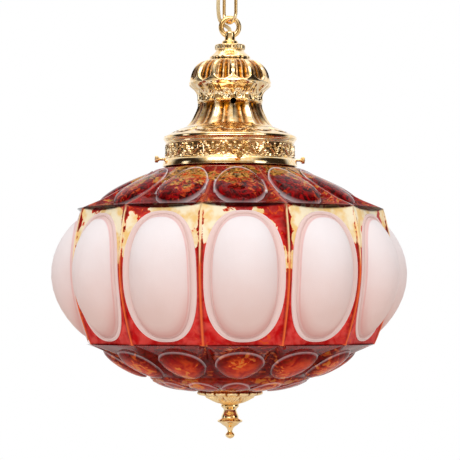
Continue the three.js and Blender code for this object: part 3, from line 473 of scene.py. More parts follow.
def round_axis(radius, angle, depth):
    """Points in metres from a radius, an angle in degrees from the front, and a depth."""
    turn = np.radians(angle)
    across = np.asarray(radius) * np.sin(turn)
    back = -np.asarray(radius) * np.cos(turn)
    height = LAMP_TOP - np.asarray(depth, float)
    return np.stack(np.broadcast_arrays(across, back, height), axis=-1) * MM


def mesh_object(name, points, faces, values=None):
    """A new object from points and faces. Values are named numbers kept at the points."""
    mesh = bpy.data.meshes.new(name)
    mesh.from_pydata([tuple(p) for p in points], [], faces)
    for key, numbers in (values or {}).items():
        layer = mesh.attributes.new(key, "FLOAT", "POINT")
        layer.data.foreach_set("value", np.asarray(numbers, np.float32))
    made = bpy.data.objects.new(name, mesh)
    bpy.context.scene.collection.objects.link(made)
    return made


def grid_faces(rows, columns, close_rows, close_columns):
    """Quads of a grid of points whose rows go down and whose columns go round."""
    faces = []
    for row in range(rows if close_rows else rows - 1):
        for column in range(columns if close_columns else columns - 1):
            below = (row + 1) % rows
            beside = (column + 1) % columns
            corners = [(row, column), (below, column), (below, beside), (row, beside)]
            faces.append([r * columns + c for r, c in corners])
    return faces


def merge_points(made, distance):
    """Merges points that lie closer than a distance in mm."""
    work = bmesh.new()
    work.from_mesh(made.data)
    bmesh.ops.remove_doubles(work, verts=work.verts, dist=distance * MM)
    work.to_mesh(made.data)
    work.free()


def finish_piece(made, material, sharp_angle=32):
    """Gives a piece its material and smooth shading with crisp edges."""
    made.data.materials.clear()
    made.data.materials.append(material)
    made.data.polygons.foreach_set("use_smooth", [True] * len(made.data.polygons))
    made.data.set_sharp_from_angle(angle=math.radians(sharp_angle))
    return made


def baked(made):
    """Replaces an object's mesh by its evaluated one, and removes its modifiers."""
    scene = bpy.context.evaluated_depsgraph_get()
    mesh = bpy.data.meshes.new_from_object(made.evaluated_get(scene))
    made.modifiers.clear()
    old = made.data
    made.data = mesh
    bpy.data.meshes.remove(old)
    return made


def geometry_tree(name, inputs):
    """A new node tree, the outputs of its named inputs, and their socket identifiers."""
    tree = bpy.data.node_groups.new(name, "GeometryNodeTree")
    face = tree.interface
    identifiers = {}
    for key, kind in inputs.items():
        socket = face.new_socket(key, in_out="INPUT", socket_type="NodeSocket" + kind)
        identifiers[key] = socket.identifier
    face.new_socket("Geometry", in_out="OUTPUT", socket_type="NodeSocketGeometry")
    return tree, add(tree, "NodeGroupInput").outputs, identifiers


def grown(made, name, tree, identifiers, values):
    """Runs a tree on an object with its inputs' values, and keeps the result as a plain mesh."""
    modifier = made.modifiers.new(name, "NODES")
    modifier.node_group = tree
    for key, value in values.items():
        modifier[identifiers[key]] = value
    made.update_tag()
    return baked(made)


def ring_tree():
    """A node tree that repeats a sector round the Z axis and joins the copies."""
    inputs = {"sector": "Geometry", "count": "Int", "merge distance": "Float", "material": "Material"}
    tree, given, identifiers = geometry_tree("ring_of_copies", inputs)
    line = add(tree, "GeometryNodeMeshLine", {"Offset": (0, 0, 0)}, {"Count": given["count"]})
    pitch = add(tree, "ShaderNodeMath", {"operation": "DIVIDE", 0: 2 * math.pi}, {1: given["count"]})
    index = add(tree, "GeometryNodeInputIndex")
    turn = add(tree, "ShaderNodeMath", {"operation": "MULTIPLY"},
               {0: index.outputs[0], 1: pitch.outputs[0]})
    rotation = add(tree, "FunctionNodeAxisAngleToRotation", {"Axis": (0, 0, 1)},
                   {"Angle": turn.outputs[0]})
    copies = add(tree, "GeometryNodeInstanceOnPoints", {},
                 {"Points": line.outputs["Mesh"], "Instance": given["sector"],
                  "Rotation": rotation.outputs["Rotation"]})
    solid = add(tree, "GeometryNodeRealizeInstances", {}, {0: copies.outputs[0]})
    joined = add(tree, "GeometryNodeMergeByDistance", {},
                 {0: solid.outputs[0], "Distance": given["merge distance"]})
    painted = add(tree, "GeometryNodeSetMaterial", {},
                  {0: joined.outputs[0], "Material": given["material"]})
    add(tree, "NodeGroupOutput", {}, {0: painted.outputs[0]})
    return tree, identifiers


RING_TREE, RING_INPUTS = ring_tree()


def ring_of(sector, copies, material, merge=0.02, sharp_angle=32):
    """Repeats a sector round the lamp's axis into one whole piece."""
    values = {"count": copies, "merge distance": merge * MM, "material": material}
    grown(sector, "ring", RING_TREE, RING_INPUTS, values)
    return finish_piece(sector, material, sharp_angle)


def resampled(profile, rows):
    """A profile of [depth, radius] points, taken smoothly at more, evenly spaced places."""
    depths, radii = np.array(profile, float).T
    steps = np.hypot(np.diff(depths), np.diff(radii))
    along = np.concatenate([[0], np.cumsum(steps)])
    places = np.linspace(0, along[-1], rows)
    return smooth_line(along, depths, places), smooth_line(along, radii, places)


def smooth_line(xs, ys, places):
    """A monotone cubic through points, so that it never swings past them."""
    slopes = np.diff(ys) / np.diff(xs)
    tangents = np.concatenate([[slopes[0]], (slopes[1:] + slopes[:-1]) / 2, [slopes[-1]]])
    tangents[1:-1][slopes[1:] * slopes[:-1] <= 0] = 0
    limit = 3 * np.minimum(np.abs(np.concatenate([[slopes[0]], slopes])),
                           np.abs(np.concatenate([slopes, [slopes[-1]]])))
    tangents = np.sign(tangents) * np.minimum(np.abs(tangents), limit)
    i = np.clip(np.searchsorted(xs, places) - 1, 0, len(slopes) - 1)
    width = xs[i + 1] - xs[i]
    t = (places - xs[i]) / width
    return (ys[i] * (1 + 2 * t) * (1 - t) ** 2 + ys[i + 1] * t * t * (3 - 2 * t)
            + width * (tangents[i] * t * (1 - t) ** 2 - tangents[i + 1] * t * t * (1 - t)))


def relief_shell(name, profile, relief, wall, material, rows, columns, sector=CAST_SECTOR):
    """A cast shell: a smooth profile with a relief on its outer face, repeated round the axis.

    relief(depth, angle) gives the height in mm and how worn each place is, from 0 to 1; on the crown's bell
    that value also holds painted shade. The plain inner face has a third of the rows."""
    depths, radii = resampled(profile, rows)
    angles = np.linspace(-sector / 2, sector / 2, columns + 1)
    grid_depth, grid_angle = np.meshgrid(depths, angles, indexing="ij")
    height, worn = relief(grid_depth, grid_angle)
    outer = round_axis(radii[:, None] + height, grid_angle + FLUTE_TURN, grid_depth)
    back = np.r_[rows - 1:0:-3, 0]
    inner_radius = np.maximum(radii - wall, TUBE_BORE)[back, None]
    inner = round_axis(inner_radius, angles[None, :] + FLUTE_TURN, depths[back, None])
    points = np.concatenate([outer, inner]).reshape(-1, 3)
    values = np.concatenate([worn, np.zeros((len(back), columns + 1))]).ravel()
    faces = grid_faces(rows + len(back), columns + 1, True, False)
    made = mesh_object(name, points, faces, {"relief": values})
    return ring_of(made, round(360 / sector), material)


def turned_piece(name, profile, material, segments, close_rows=False):
    """A plain turned piece from a profile of [depth, radius] points, from its top down."""
    depths, radii = np.array(profile, float).T
    angles = np.arange(segments) * 360 / segments
    grid = round_axis(radii[:, None], angles[None, :], depths[:, None])
    faces = grid_faces(len(depths), segments, close_rows, True)
    made = mesh_object(name, grid.reshape(-1, 3), faces)
    merge_points(made, 0.001)
    return finish_piece(made, material)


# Glass shade

def mix(first, second, share):
    return first + (second - first) * share


def chord(corner_radius, across, depth):
    """A place on the flat between two ribs: across goes from -1 to 1."""
    return [corner_radius * math.sin(HALF_PANEL) * across,
            corner_radius * math.cos(HALF_PANEL), depth]


def arc(radius, across, depth):
    """A place on a circle within the panel: across goes from -1 to 1."""
    return [radius * math.sin(HALF_PANEL * across), radius * math.cos(HALF_PANEL * across), depth]


def rib_radius(along):
    return mix(EDGE_RADIUS, LOWER_EDGE_RADIUS, along) + RIB_BULGE * math.sin(math.pi * along)


def upper_edge_place(across, down):
    """The outline of an upper panel, between the collar, two ridges and the shade's edge."""
    along = (down + 1) / 2
    if down <= -1:
        return arc(COLLAR_RADIUS, across, COLLAR_DEPTH)
    if down >= 1:
        return chord(EDGE_RADIUS, across, EDGE_DEPTH + EDGE_DROP * (1 - across ** 2))
    radius = mix(COLLAR_RADIUS, EDGE_RADIUS, along)
    depth = float(np.interp(radius, [COLLAR_RADIUS, UPPER_KNEE_RADIUS, EDGE_RADIUS],
                            [COLLAR_DEPTH, UPPER_KNEE_DEPTH, EDGE_DEPTH]))
    return arc(radius, across, depth)


def oval_rim(turn, fullness):
    """A place on an oval's rim as shares of its half-sizes. An oval of fullness 2 is an ellipse."""
    across, down = math.cos(turn), math.sin(turn)
    reach = (abs(across) ** fullness + abs(down) ** fullness) ** (1 / fullness)
    return across / reach, down / reach


def upper_oval_place(turn, share):
    """A place on an upper oval, which is a slanting egg with a lens on it."""
    oval = UPPER_OVAL
    along = math.sin(turn) * share
    across = oval["half"] * math.cos(turn) * share * (1 + oval["egg"] * math.sin(turn))
    reach = mix(oval["near"], oval["far"], (along + 1) / 2)
    depth = COLLAR_DEPTH + (reach - COLLAR_RADIUS) * oval["slope"]
    lift = oval["bulge"] * max(0, 1 - share ** 2) ** 0.35 * (1 + along) ** 0.65
    steep = math.hypot(1, oval["slope"])
    return [across, reach + lift * oval["slope"] / steep, depth - lift / steep]


def middle_edge_place(across, down):
    along = (down + 1) / 2
    top = EDGE_DEPTH + EDGE_DROP * (1 - across ** 2)
    return chord(rib_radius(along), across, mix(top, LOWER_EDGE_DEPTH, along))


def on_flat(across, depth, lift):
    """A place on the bowed flat of a middle panel, lifted outwards."""
    along = (depth - EDGE_DEPTH) / (LOWER_EDGE_DEPTH - EDGE_DEPTH)
    reach = rib_radius(along) * math.cos(HALF_PANEL)
    return [across, reach + lift, depth]


def middle_oval_place(turn, share):
    """A place on a frosted oval. Shares over 1 are on the pale band round it, up to 2."""
    oval = MIDDLE_OVAL
    inside = min(share, 1)
    outside = max(share - 1, 0)
    half = mix(oval["half"], oval["outer_half"], outside)
    height = mix(oval["height"], oval["outer_height"], outside)
    lift = oval["bulge"] * max(0, 1 - inside ** 2) ** 0.75
    lift += oval["band_lift"] * math.sin(math.pi * outside)
    across, down = oval_rim(turn, oval["fullness"])
    return on_flat(half * across * inside, oval["depth"] + height * down * inside, lift)


def lower_edge_place(across, down):
    if down <= -1:
        return chord(LOWER_EDGE_RADIUS, across, LOWER_EDGE_DEPTH)
    if down >= 1:
        return arc(PETAL_EDGE_RADIUS, across, PETAL_EDGE_DEPTH)
    radius = mix(LOWER_EDGE_RADIUS, PETAL_EDGE_RADIUS, (down + 1) / 2)
    depth = float(np.interp(radius, [PETAL_EDGE_RADIUS, LOWER_KNEE_RADIUS, LOWER_EDGE_RADIUS],
                            [PETAL_EDGE_DEPTH, LOWER_KNEE_DEPTH, LOWER_EDGE_DEPTH]))
    return arc(radius, across, depth - LOWER_BOW * math.sin(math.pi * (down + 1) / 2))


def lower_oval_place(turn, share):
    oval = LOWER_OVAL
    along = math.sin(turn) * share
    across = oval["half"] * math.cos(turn) * share * (1 + oval["egg"] * math.sin(turn))
    reach = mix(oval["near"], oval["far"], (along + 1) / 2)
    depth = oval["depth"] + (oval["near"] - reach) * oval["slope"]
    lift = oval["bulge"] * max(0, 1 - share ** 2) ** 0.5
    steep = math.hypot(1, oval["slope"])
    return [across, reach + lift * oval["slope"] / steep, depth + lift / steep]


def petal_edge_place(across, down):
    radius = mix(PETAL_EDGE_RADIUS, FOOT_RADIUS, (down + 1) / 2)
    depth = mix(PETAL_EDGE_DEPTH, FOOT_DEPTH, math.sqrt((down + 1) / 2))
    return arc(radius, across, depth)


def petal_place(turn, share):
    """A place on a small petal, which ends in a point towards the foot."""
    along = math.sin(turn) * share
    point = 1 - PETAL["point"] * max(0, math.sin(turn)) ** 2
    across = PETAL["half"] * math.cos(turn) * share * point
    reach = mix(PETAL["near"], PETAL["far"], (along + 1) / 2)
    share_down = (PETAL_EDGE_RADIUS - reach) / (PETAL_EDGE_RADIUS - FOOT_RADIUS)
    depth = mix(PETAL_EDGE_DEPTH, FOOT_DEPTH, math.sqrt(share_down))
    return [across, reach, depth + PETAL["bulge"] * max(0, 1 - share ** 2) ** 0.5]


def square_loop():
    """Places round the edge of a square from -1 to 1, starting at its top left."""
    steps = [mix(-1, 1, i / SIDE_STEPS) for i in range(SIDE_STEPS)]
    top = [(s, -1) for s in steps]
    right = [(1, s) for s in steps]
    bottom = [(-s, 1) for s in steps]
    left = [(-1, -s) for s in steps]
    return top + right + bottom + left


def panel_patch(edge_place, oval_place, inside, outside, marks, rib):
    """Rings of points from the middle of an oval out to the edge of its panel, and their marks.

    A ring's share is 0 in the middle and 1 at the oval's rim. The last ring but one keeps a rib's
    half-width from the edge, and the edge rises to the rib."""
    loop = square_loop()
    turns = [math.atan2(down, across) for across, down in loop]
    last = inside[-1]
    rim = np.array([oval_place(turn, last) for turn in turns])
    near = np.array([edge_place(across * rib["near"], down * rib["near_end"]) for across, down in loop])
    edge = np.array([edge_place(*place) for place in loop])
    for place, (across, down) in zip(edge, loop):
        if abs(across) == 1:
            place[:2] *= 1 + rib["rise"] * math.sqrt(max(0, 1 - down * down)) / np.hypot(*place[:2])
    rings = [np.array([oval_place(turn, share) for turn in turns]) for share in inside]
    rings += [mix(rim, near, share) for share in outside] + [edge]
    shares = list(inside) + [last + share for share in outside[:-1]] + [NEAR_SHARE, EDGE_SHARE]
    values = [marks(share, ring, loop) for share, ring in zip(shares, rings)]
    return np.array(rings), values


def bead(rings, crest, lift):
    """Raises one ring of a patch outwards by a lift in mm, into the bead that outlines an oval."""
    before, after = rings[crest - 1], rings[crest + 1]
    along = after - before
    around = np.roll(rings[crest], -1, axis=0) - np.roll(rings[crest], 1, axis=0)
    out = np.cross(around, along)
    out /= np.linalg.norm(out, axis=1)[:, None]
    out[out[:, 1] < 0] *= -1
    rings[crest] = rings[crest] + out * lift
    return rings


def upper_marks(share, ring, loop):
    """Painted shade over the slanting ovals and the glass between them, a painted gold reflection mottled
    between them and strongest high up, painted highlights on the outlines and ribs, and painted shade in
    creases round each oval and along the lower edge.
    """
    beside = np.array([abs(across) == 1 and abs(down) < 1 for across, down in loop])
    below = np.array([down == 1 for across, down in loop])
    high = 1 - smooth(186, 214, ring[:, 2])
    gilt = 0.15 + 0.42 * high if share > 1 else 0.5 * high
    deep = 0.8 if share > 1 else 1.0
    return {"rim": 0.75 * (share == 1), "gilt": gilt, "deep": deep,
            "ridge": 0.35 * (beside & (share == EDGE_SHARE)),
            "line": np.where(below & (share > 2), 0.9, 0.6 * (1 < share < 1.2))}


def middle_marks(share, ring, loop):
    """A milky dome with a painted shadow inside its lower rim, a pale band whose thin outline is a painted
    highlight, strongest high up, a painted gold reflection high on the ruby, painted highlights on the
    ribs, and painted shade on the ruby towards the top, beside the ribs and along the tier's edges.
    """
    beside = np.array([abs(across) == 1 and abs(down) < 1 for across, down in loop])
    end = np.array([abs(down) == 1 for across, down in loop])
    corner = np.array([abs(across) == 1 and abs(down) == 1 for across, down in loop])
    at_edge, near = share == EDGE_SHARE, share == NEAR_SHARE
    lower = smooth(310, 368, ring[:, 2])
    upper = 1 - smooth(250, 320, ring[:, 2])
    gilt = (1 - smooth(262, 325, ring[:, 2])) * (share > 1.99)
    return {"frosted": share < 0.96, "rim": (0.15 + 0.6 * upper) * (share == BAND_CREST),
            "band": 0.96 < share < 1.99,
            "gilt": np.where(beside & near, 0.3 * gilt, gilt),
            "ridge": (beside | corner) & at_edge,
            "deep": (0.15 + 0.35 * upper) * (share > 2.3) + 0.4 * (beside & near),
            "line": end & ~corner & at_edge,
            "soft": hump(share, 0.95, 0.08) * 0.75 * lower * (share < 1.3)}


def lower_marks(share, ring, loop):
    """Ruby scoops with a painted brown-gold reflection, strongest in their middles, outlines that are
    painted highlights, and painted shade towards their rims, in a ring inside them and in the gaps between
    them.
    """
    top = 1 - smooth(376, 384, ring[:, 2])
    if share > 1:
        return {"gilt": 0.1, "deep": 0.75, "line": mix(0.45, 0.8 * (share == EDGE_SHARE), top)}
    return {"rim": 0.4 * (share == 1), "gilt": 0.4 - 0.3 * share, "deep": 0.9 * share ** 3,
            "line": 0.35 * hump(share, 0.86, 0.12)}


# Small petals: painted highlights on their outlines, a painted gold reflection, painted shade, and painted
# shade in the creases round them.
def petal_marks(share, ring, loop):
    return {"rim": 0.4 * (share == 1), "gilt": 0.4, "deep": 0.5, "line": 0.3 * (share > 1)}


# Each tier's outline, oval, marks and rib, the shares at which its oval has rings, those from the
# oval to the rib, and the ring that is raised into a bead, with its height
SHADE_TIERS = [
    (upper_edge_place, upper_oval_place, upper_marks, UPPER_RIB,
     [0, 0.18, 0.36, 0.54, 0.7, 0.83, 1 - BEAD_WIDTH / UPPER_OVAL["half"], 1], [0.05, 0.5, 1],
     1, BEAD_HEIGHT),
    (middle_edge_place, middle_oval_place, middle_marks, MIDDLE_RIB,
     [0, 0.2, 0.38, 0.54, 0.68, 0.79, 0.87, 0.91, 0.95, 0.98, 1, 1.12, 1.35, 1.6, 1.8, 1.87,
      BAND_CREST, 2], [0.06, 0.5, 1], BAND_CREST, MIDDLE_BEAD_HEIGHT),
    (lower_edge_place, lower_oval_place, lower_marks, LOWER_RIB,
     [0, 0.2, 0.4, 0.6, 0.78, 0.9, 1 - BEAD_WIDTH / LOWER_OVAL["half"], 1], [0.06, 0.5, 1],
     1, BEAD_HEIGHT),
    (petal_edge_place, petal_place, petal_marks, LOWER_RIB, [0, 0.4, 0.75, 0.9, 1], [0.2, 1],
     1, PETAL_BEAD_HEIGHT),
]


def shade_sector():
    """One twelfth of the shade's outer face, with its marks."""
    points, faces = [], []
    marks = {name: [] for name in MARKS}

    def take(grid, values, quads):
        start = len(points)
        points.extend(grid.reshape(-1, 3))
        faces.extend([[start + corner for corner in quad] for quad in quads])
        for row in values:
            for name in MARKS:
                marks[name].extend(np.broadcast_to(np.asarray(row.get(name, 0), float), grid.shape[1]))

    for edge_place, oval_place, marks_of, rib, inside, outside, crest, lift in SHADE_TIERS:
        rings, values = panel_patch(edge_place, oval_place, inside, outside, marks_of, rib)
        rings = bead(rings, inside.index(crest), lift)
        quads = grid_faces(len(rings), rings.shape[1], False, True)
        take(rings, values, [quad[::-1] for quad in quads])

    across = [mix(-1, 1, i / SIDE_STEPS) for i in range(SIDE_STEPS + 1)]
    neck = [(LIP_RADIUS - 1.6, LIP_DEPTH), (LIP_RADIUS, 160.2), (LIP_RADIUS, 163.4),
            (LIP_RADIUS - 0.8, 164.2), (NECK_RADIUS + 0.6, 164.6), (NECK_RADIUS, 166),
            (NECK_RADIUS, 172), (69, 174.6), (75.5, 176), (COLLAR_RADIUS, COLLAR_DEPTH)]
    foot = [(FOOT_RADIUS, FOOT_DEPTH), (37, SHADE_BOTTOM), (24, SHADE_BOTTOM),
            (HOLE_RADIUS, SHADE_BOTTOM)]
    for outline in (neck, foot):
        grid = np.array([[arc(radius, place, depth) for place in across] for radius, depth in outline])
        # The neck and foot: a little painted reflection and much painted shade.
        plain = {"gilt": 0.3, "deep": 0.8}
        take(grid, [plain] * len(outline), grid_faces(len(outline), SIDE_STEPS + 1, False, False))

    place = np.array(points)
    turn = math.radians(PANEL_TURN)
    across_x = place[:, 0] * math.cos(turn) + place[:, 1] * math.sin(turn)
    back_y = place[:, 0] * math.sin(turn) - place[:, 1] * math.cos(turn)
    world = np.stack([across_x, back_y, LAMP_TOP - place[:, 2]], axis=-1) * MM
    made = mesh_object("ruby_shade", world, faces, marks)
    merge_points(made, 0.01)
    return made


def glass_shade():
    shade = ring_of(shade_sector(), PANELS, RUBY, 0.05, 30)
    wall = shade.modifiers.new("wall", "SOLIDIFY")
    wall.thickness = GLASS_WALL * MM
    wall.offset = -1
    baked(shade)
    finish_piece(shade, RUBY, 30)
    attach(shade, "shade")
    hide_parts("glass_shade")


glass_shade()


# Crown, rosette and gallery

def crown_profile():
    pixels = [(58.8, 20), (60, 24), (61.5, 28.5), (63.5, 31.6), (66, 34.3), (69, 36.5), (72, 38),
              (75, 39), (78, 39.6), (81, 40.3), (83.6, 40.5), (85.5, 39.8), (88, 37.4), (91, 34),
              (94, 32.2), (97.5, 31.5), (100.5, 31.6), (102.2, 32.5), (104, 31.5), (108, 32),
              (114, 34.5), (120, 37.5), (124.5, 40.8), (127, 44), (128.6, 47.9)]
    return [(photo_depth(pixel), half * MM_PER_PIXEL) for pixel, half in pixels]


def folded(angle, pitch):
    """How far an angle lies from the nearest multiple of the pitch, from -pitch/2 to pitch/2."""
    return angle - pitch * np.round(angle / pitch)


def crown_relief(depth, angle):
    """Twelve gadroons on the dome, leaves in the neck, and sharp flutes on the bell."""
    top, shoulder = photo_depth(58.8), photo_depth(83)
    neck_end, foot = photo_depth(101.5), photo_depth(127.5)
    beside = folded(angle - FLUTE_PITCH / 2, FLUTE_PITCH) / (FLUTE_PITCH / 2)
    # The dome: rounded panels sunk between the ribs, with reeds in them and a lip under each
    bottom = photo_depth(81) - 6.5 * beside ** 2
    panel = (1 - smooth(0.66, 0.86, np.abs(beside))) * (1 - smooth(-1.2, 1.2, depth - bottom))
    panel = panel * smooth(0, 5, depth - top)
    reeds = 0.5 + 0.5 * np.cos(beside * 3.6 * math.pi)
    lip = (1 - np.abs(beside)) * hump(depth, bottom + 1.6, 1.2)
    dome = panel * (-3.1 + 1.2 * reeds) + 0.5 * lip + 0.7 * hump(depth, shoulder, 1.0)
    # The neck: a fan of leaves with a raised outline, and curls at its foot
    share = np.clip((depth - shoulder) / (neck_end - shoulder), 0, 1)
    within = smooth(0, 2, depth - shoulder - 1) * (1 - smooth(-1.5, 0, depth - neck_end))
    fan = np.arctan2(angle / 20, 1.05 - share)
    leaf_edge = np.abs(angle) / (26 - 12 * share ** 2)
    leaf = (0.5 + 0.5 * np.cos(fan * 6)) * (1 - smooth(0.8, 1.0, leaf_edge))
    outline = hump(leaf_edge, 1.0, 0.09)
    swirl = np.hypot((np.abs(angle) - 10) / 7.5, (share - 0.8) * 2.6)
    curls = (1 - smooth(0.8, 1.1, swirl)) * (0.4 + 0.6 * np.cos(swirl * 6) ** 2)
    ridge = hump(np.abs(angle), CAST_SECTOR / 2, 3.2)
    neck = within * (1.3 * leaf * (1 - smooth(0.5, 0.8, share)) + 1.1 * outline + 1.6 * curls
                     + 2.4 * ridge - 1.0)
    # The bell: hollow flutes with a reed in each, and painted shade in them, darkest under the neck's ring
    bell_in = smooth(0, 3, depth - neck_end - 0.5) * (1 - smooth(-3, 0, depth - foot))
    flute = -2.7 * (1 - beside ** 2) + 1.0 * hump(beside, 0, 0.16)
    bell = bell_in * (flute + 0.9 * ridge)
    ring = 0.8 * hump(depth, neck_end, 0.8)
    height = dome + neck + bell + ring
    # Painted shade: the bell's flutes are darkened under the neck's ring, through the wear value that sets
    # the patina's colour.
    shade = bell_in * (1 - beside ** 2) * (1 - smooth(0, 15, depth - neck_end))
    worn = np.clip(0.85 + height * 0.32 - 0.5 * shade, 0, 1)
    return height, worn


def hole_cutter():
    """A rod through the front of the crown's neck, which cuts its small round hole."""
    sides = 48
    turns = np.arange(sides) * 2 * math.pi / sides
    rings = []
    up = np.array([0, 0, 1])
    turn = math.radians(CROWN_HOLE_TURN)
    out = np.array([math.sin(turn), -math.cos(turn), 0])
    beside = np.array([-out[1], out[0], 0])
    for reach in (20, 50):
        middle = out * reach + up * (LAMP_TOP - CROWN_HOLE_DEPTH)
        rings.append([middle + CROWN_HOLE_RADIUS * (math.cos(t) * beside + math.sin(t) * up)
                      for t in turns])
    points = np.array(rings).reshape(-1, 3) * MM
    faces = [[i, (i + 1) % sides, sides + (i + 1) % sides, sides + i] for i in range(sides)]
    faces += [list(range(sides))[::-1], list(range(sides, 2 * sides))]
    return mesh_object("hole_cutter", points, faces)


def crown():
    made = relief_shell("fluted_crown", crown_profile(), crown_relief, CROWN_WALL, CAST,
                        rows=170, columns=60)
    bore = hole_cutter()
    cut = made.modifiers.new("hole", "BOOLEAN")
    cut.operation = "DIFFERENCE"
    cut.object = bore
    baked(made)
    bpy.data.objects.remove(bore)
    finish_piece(made, CAST)
    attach(made, "lamp")
    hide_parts("crown")


crown()


def rosette_profile():
    pixels = [(44.0, 5.6), (44.0, 14.2), (44.6, 15), (45.4, 15.3), (48.4, 15.3), (49.2, 14.8),
              (49.8, 13.9), (50.8, 14.3), (52.4, 15.6), (54, 17.3), (55.4, 19), (56.6, 20.3),
              (57.4, 20.6), (58.2, 20.2)]
    return [(photo_depth(pixel), half * MM_PER_PIXEL) for pixel, half in pixels]


def rosette_relief(depth, angle):
    """A reeded collar over a rim of petals."""
    collar = smooth(photo_depth(44.8), photo_depth(45.6), depth) * (
        1 - smooth(photo_depth(49), photo_depth(50), depth))
    reeds = -0.55 * collar * (0.5 - 0.5 * np.cos(np.radians(angle) * 30))
    petals = smooth(photo_depth(54.5), photo_depth(57), depth)
    edge = -0.7 * petals * np.abs(np.cos(np.radians(angle) * 6)) ** 8
    height = reeds + edge
    return height, np.clip(0.9 + height * 0.6, 0, 1)


def rosette():
    made = relief_shell("petal_rosette", rosette_profile(), rosette_relief, ROSETTE_WALL, CAST,
                        rows=70, columns=48)
    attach(made, "lamp")
    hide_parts("crown_rosette")


rosette()


def gallery_profile():
    pixels = [(129.0, 42), (129.0, 48.8), (130.6, 52.6), (132.6, 57.6), (134.4, 61.8), (136, 65.2),
              (137, 66.3), (138.6, 66.6), (140.2, 66.2), (141.2, 65.3), (142.2, 64.7), (143.4, 64.6),
              (150, 64.7), (158.6, 64.9), (160, 65.4), (161.2, 66.4), (163, 67), (165, 67.4),
              (166.8, 67.5), (167, 67)]
    return [(photo_depth(pixel), half * MM_PER_PIXEL) for pixel, half in pixels]


def gallery_relief(depth, angle):
    """Scallops on the slope, and an ornament of palmettes between scrolls on the band."""
    # The slope: plates with scalloped ends and a groove along them
    beside = np.abs(folded(angle, FLUTE_PITCH)) / (FLUTE_PITCH / 2)
    rim = photo_depth(133.4) - 5.6 * (1 - np.sqrt(np.clip(1 - beside ** 2, 0, 1)))
    groove = hump(depth, rim + 0.9, 1.0)
    plate = 1 - smooth(-0.5, 0.5, depth - rim)
    slope_in = smooth(0, 1, depth - photo_depth(128.6))
    slope_in = slope_in * (1 - smooth(-0.6, 0.2, depth - photo_depth(136.8)))
    slope = slope_in * (1.5 * plate - 1.2 - 0.8 * groove)
    lines = 0.45 * (hump(depth, photo_depth(139.6), 0.5) + hump(depth, photo_depth(141.2), 0.5))
    # The band: palmettes between scrolls, with small leaves, between two rails
    top, bottom = photo_depth(143.2), photo_depth(159.2)
    share = np.clip((depth - top) / (bottom - top), 0, 1)
    band_in = smooth(0, 0.6, depth - top) * (1 - smooth(-0.6, 0, depth - bottom))
    reach = folded(angle, BAND_PITCH) / (BAND_PITCH / 2)
    fan = np.arctan2(reach * 1.15, 0.98 - share)
    spread = np.hypot(reach * 1.15, 0.98 - share)
    palmette = (0.5 + 0.5 * np.cos(fan * 8)) * (1 - smooth(0.72, 0.9, spread)) * smooth(0.08, 0.2, spread)
    x, y = (1 - np.abs(reach)) * 0.9, share - 0.36
    swirl = np.hypot(x - 0.1, y)
    turn = np.arctan2(y, x - 0.1)
    scroll = (0.5 + 0.5 * np.cos(turn * 2 - swirl * 20)) * (1 - smooth(0.26, 0.4, swirl))
    leaves = hump(x * 1.3 + np.abs(y - 0.36), 0.2, 0.13)
    rails = hump(share, 0.02, 0.04) + hump(share, 0.98, 0.04)
    ornament = smooth(0.25, 0.7, np.clip(palmette + scroll + leaves, 0, 1.4))
    height = slope + lines + band_in * (1.4 * ornament - 1) + 0.5 * band_in * rails
    worn = np.where(band_in > 0.2, np.clip(0.15 + ornament * 0.85 + rails, 0, 1),
                    np.clip(0.92 - slope_in * groove + lines * 0.2, 0, 1))
    return height, worn


def gallery():
    made = relief_shell("shade_gallery", gallery_profile(), gallery_relief, GALLERY_WALL, CAST,
                        rows=168, columns=72)
    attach(made, "lamp")
    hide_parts("gallery_band")


gallery()


# Cup and finial

def cup():
    """A shallow cup with a scalloped rim and leaf veins."""
    height = CUP_BOTTOM - CUP_TOP
    outline = [(0, 36.0), (0.03, 37.5), (0.12, 37.7), (0.2, 37), (0.27, 34.8), (0.33, 30.5), (0.38, 27.2),
               (0.5, 25.4), (0.64, 22.4), (0.78, 18.4), (0.9, 14), (0.97, 11), (1, 10.3)]
    profile = [(CUP_TOP + share * height, radius) for share, radius in outline]

    def relief(depth, angle):
        share = (depth - CUP_TOP) / height
        rim = 1 - smooth(0.28, 0.42, share)
        lobes = -3.4 * rim * (1 - np.abs(np.cos(np.radians(angle) * CUP_LOBES / 2)) ** 0.6)
        bowl = smooth(0.34, 0.42, share) * (1 - smooth(0.92, 1, share))
        beside = folded(angle, CUP_SECTOR) / (CUP_SECTOR / 2)
        veins = np.cos((np.abs(beside) * 1.6 + share * 1.3) * 2 * math.pi * 1.6)
        leaf = bowl * (0.9 * veins + 0.8 * hump(beside, 0, 0.1) - 1.2 * hump(np.abs(beside), 1, 0.12))
        level = lobes + leaf
        return level, np.clip(0.7 + level * 0.3 + 0.2 * rim, 0, 1)

    made = relief_shell("leaf_cup", profile, relief, CUP_WALL, SATIN, rows=70, columns=80,
                        sector=CUP_SECTOR)
    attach(made, "shade")
    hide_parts("finial_cup")


cup()


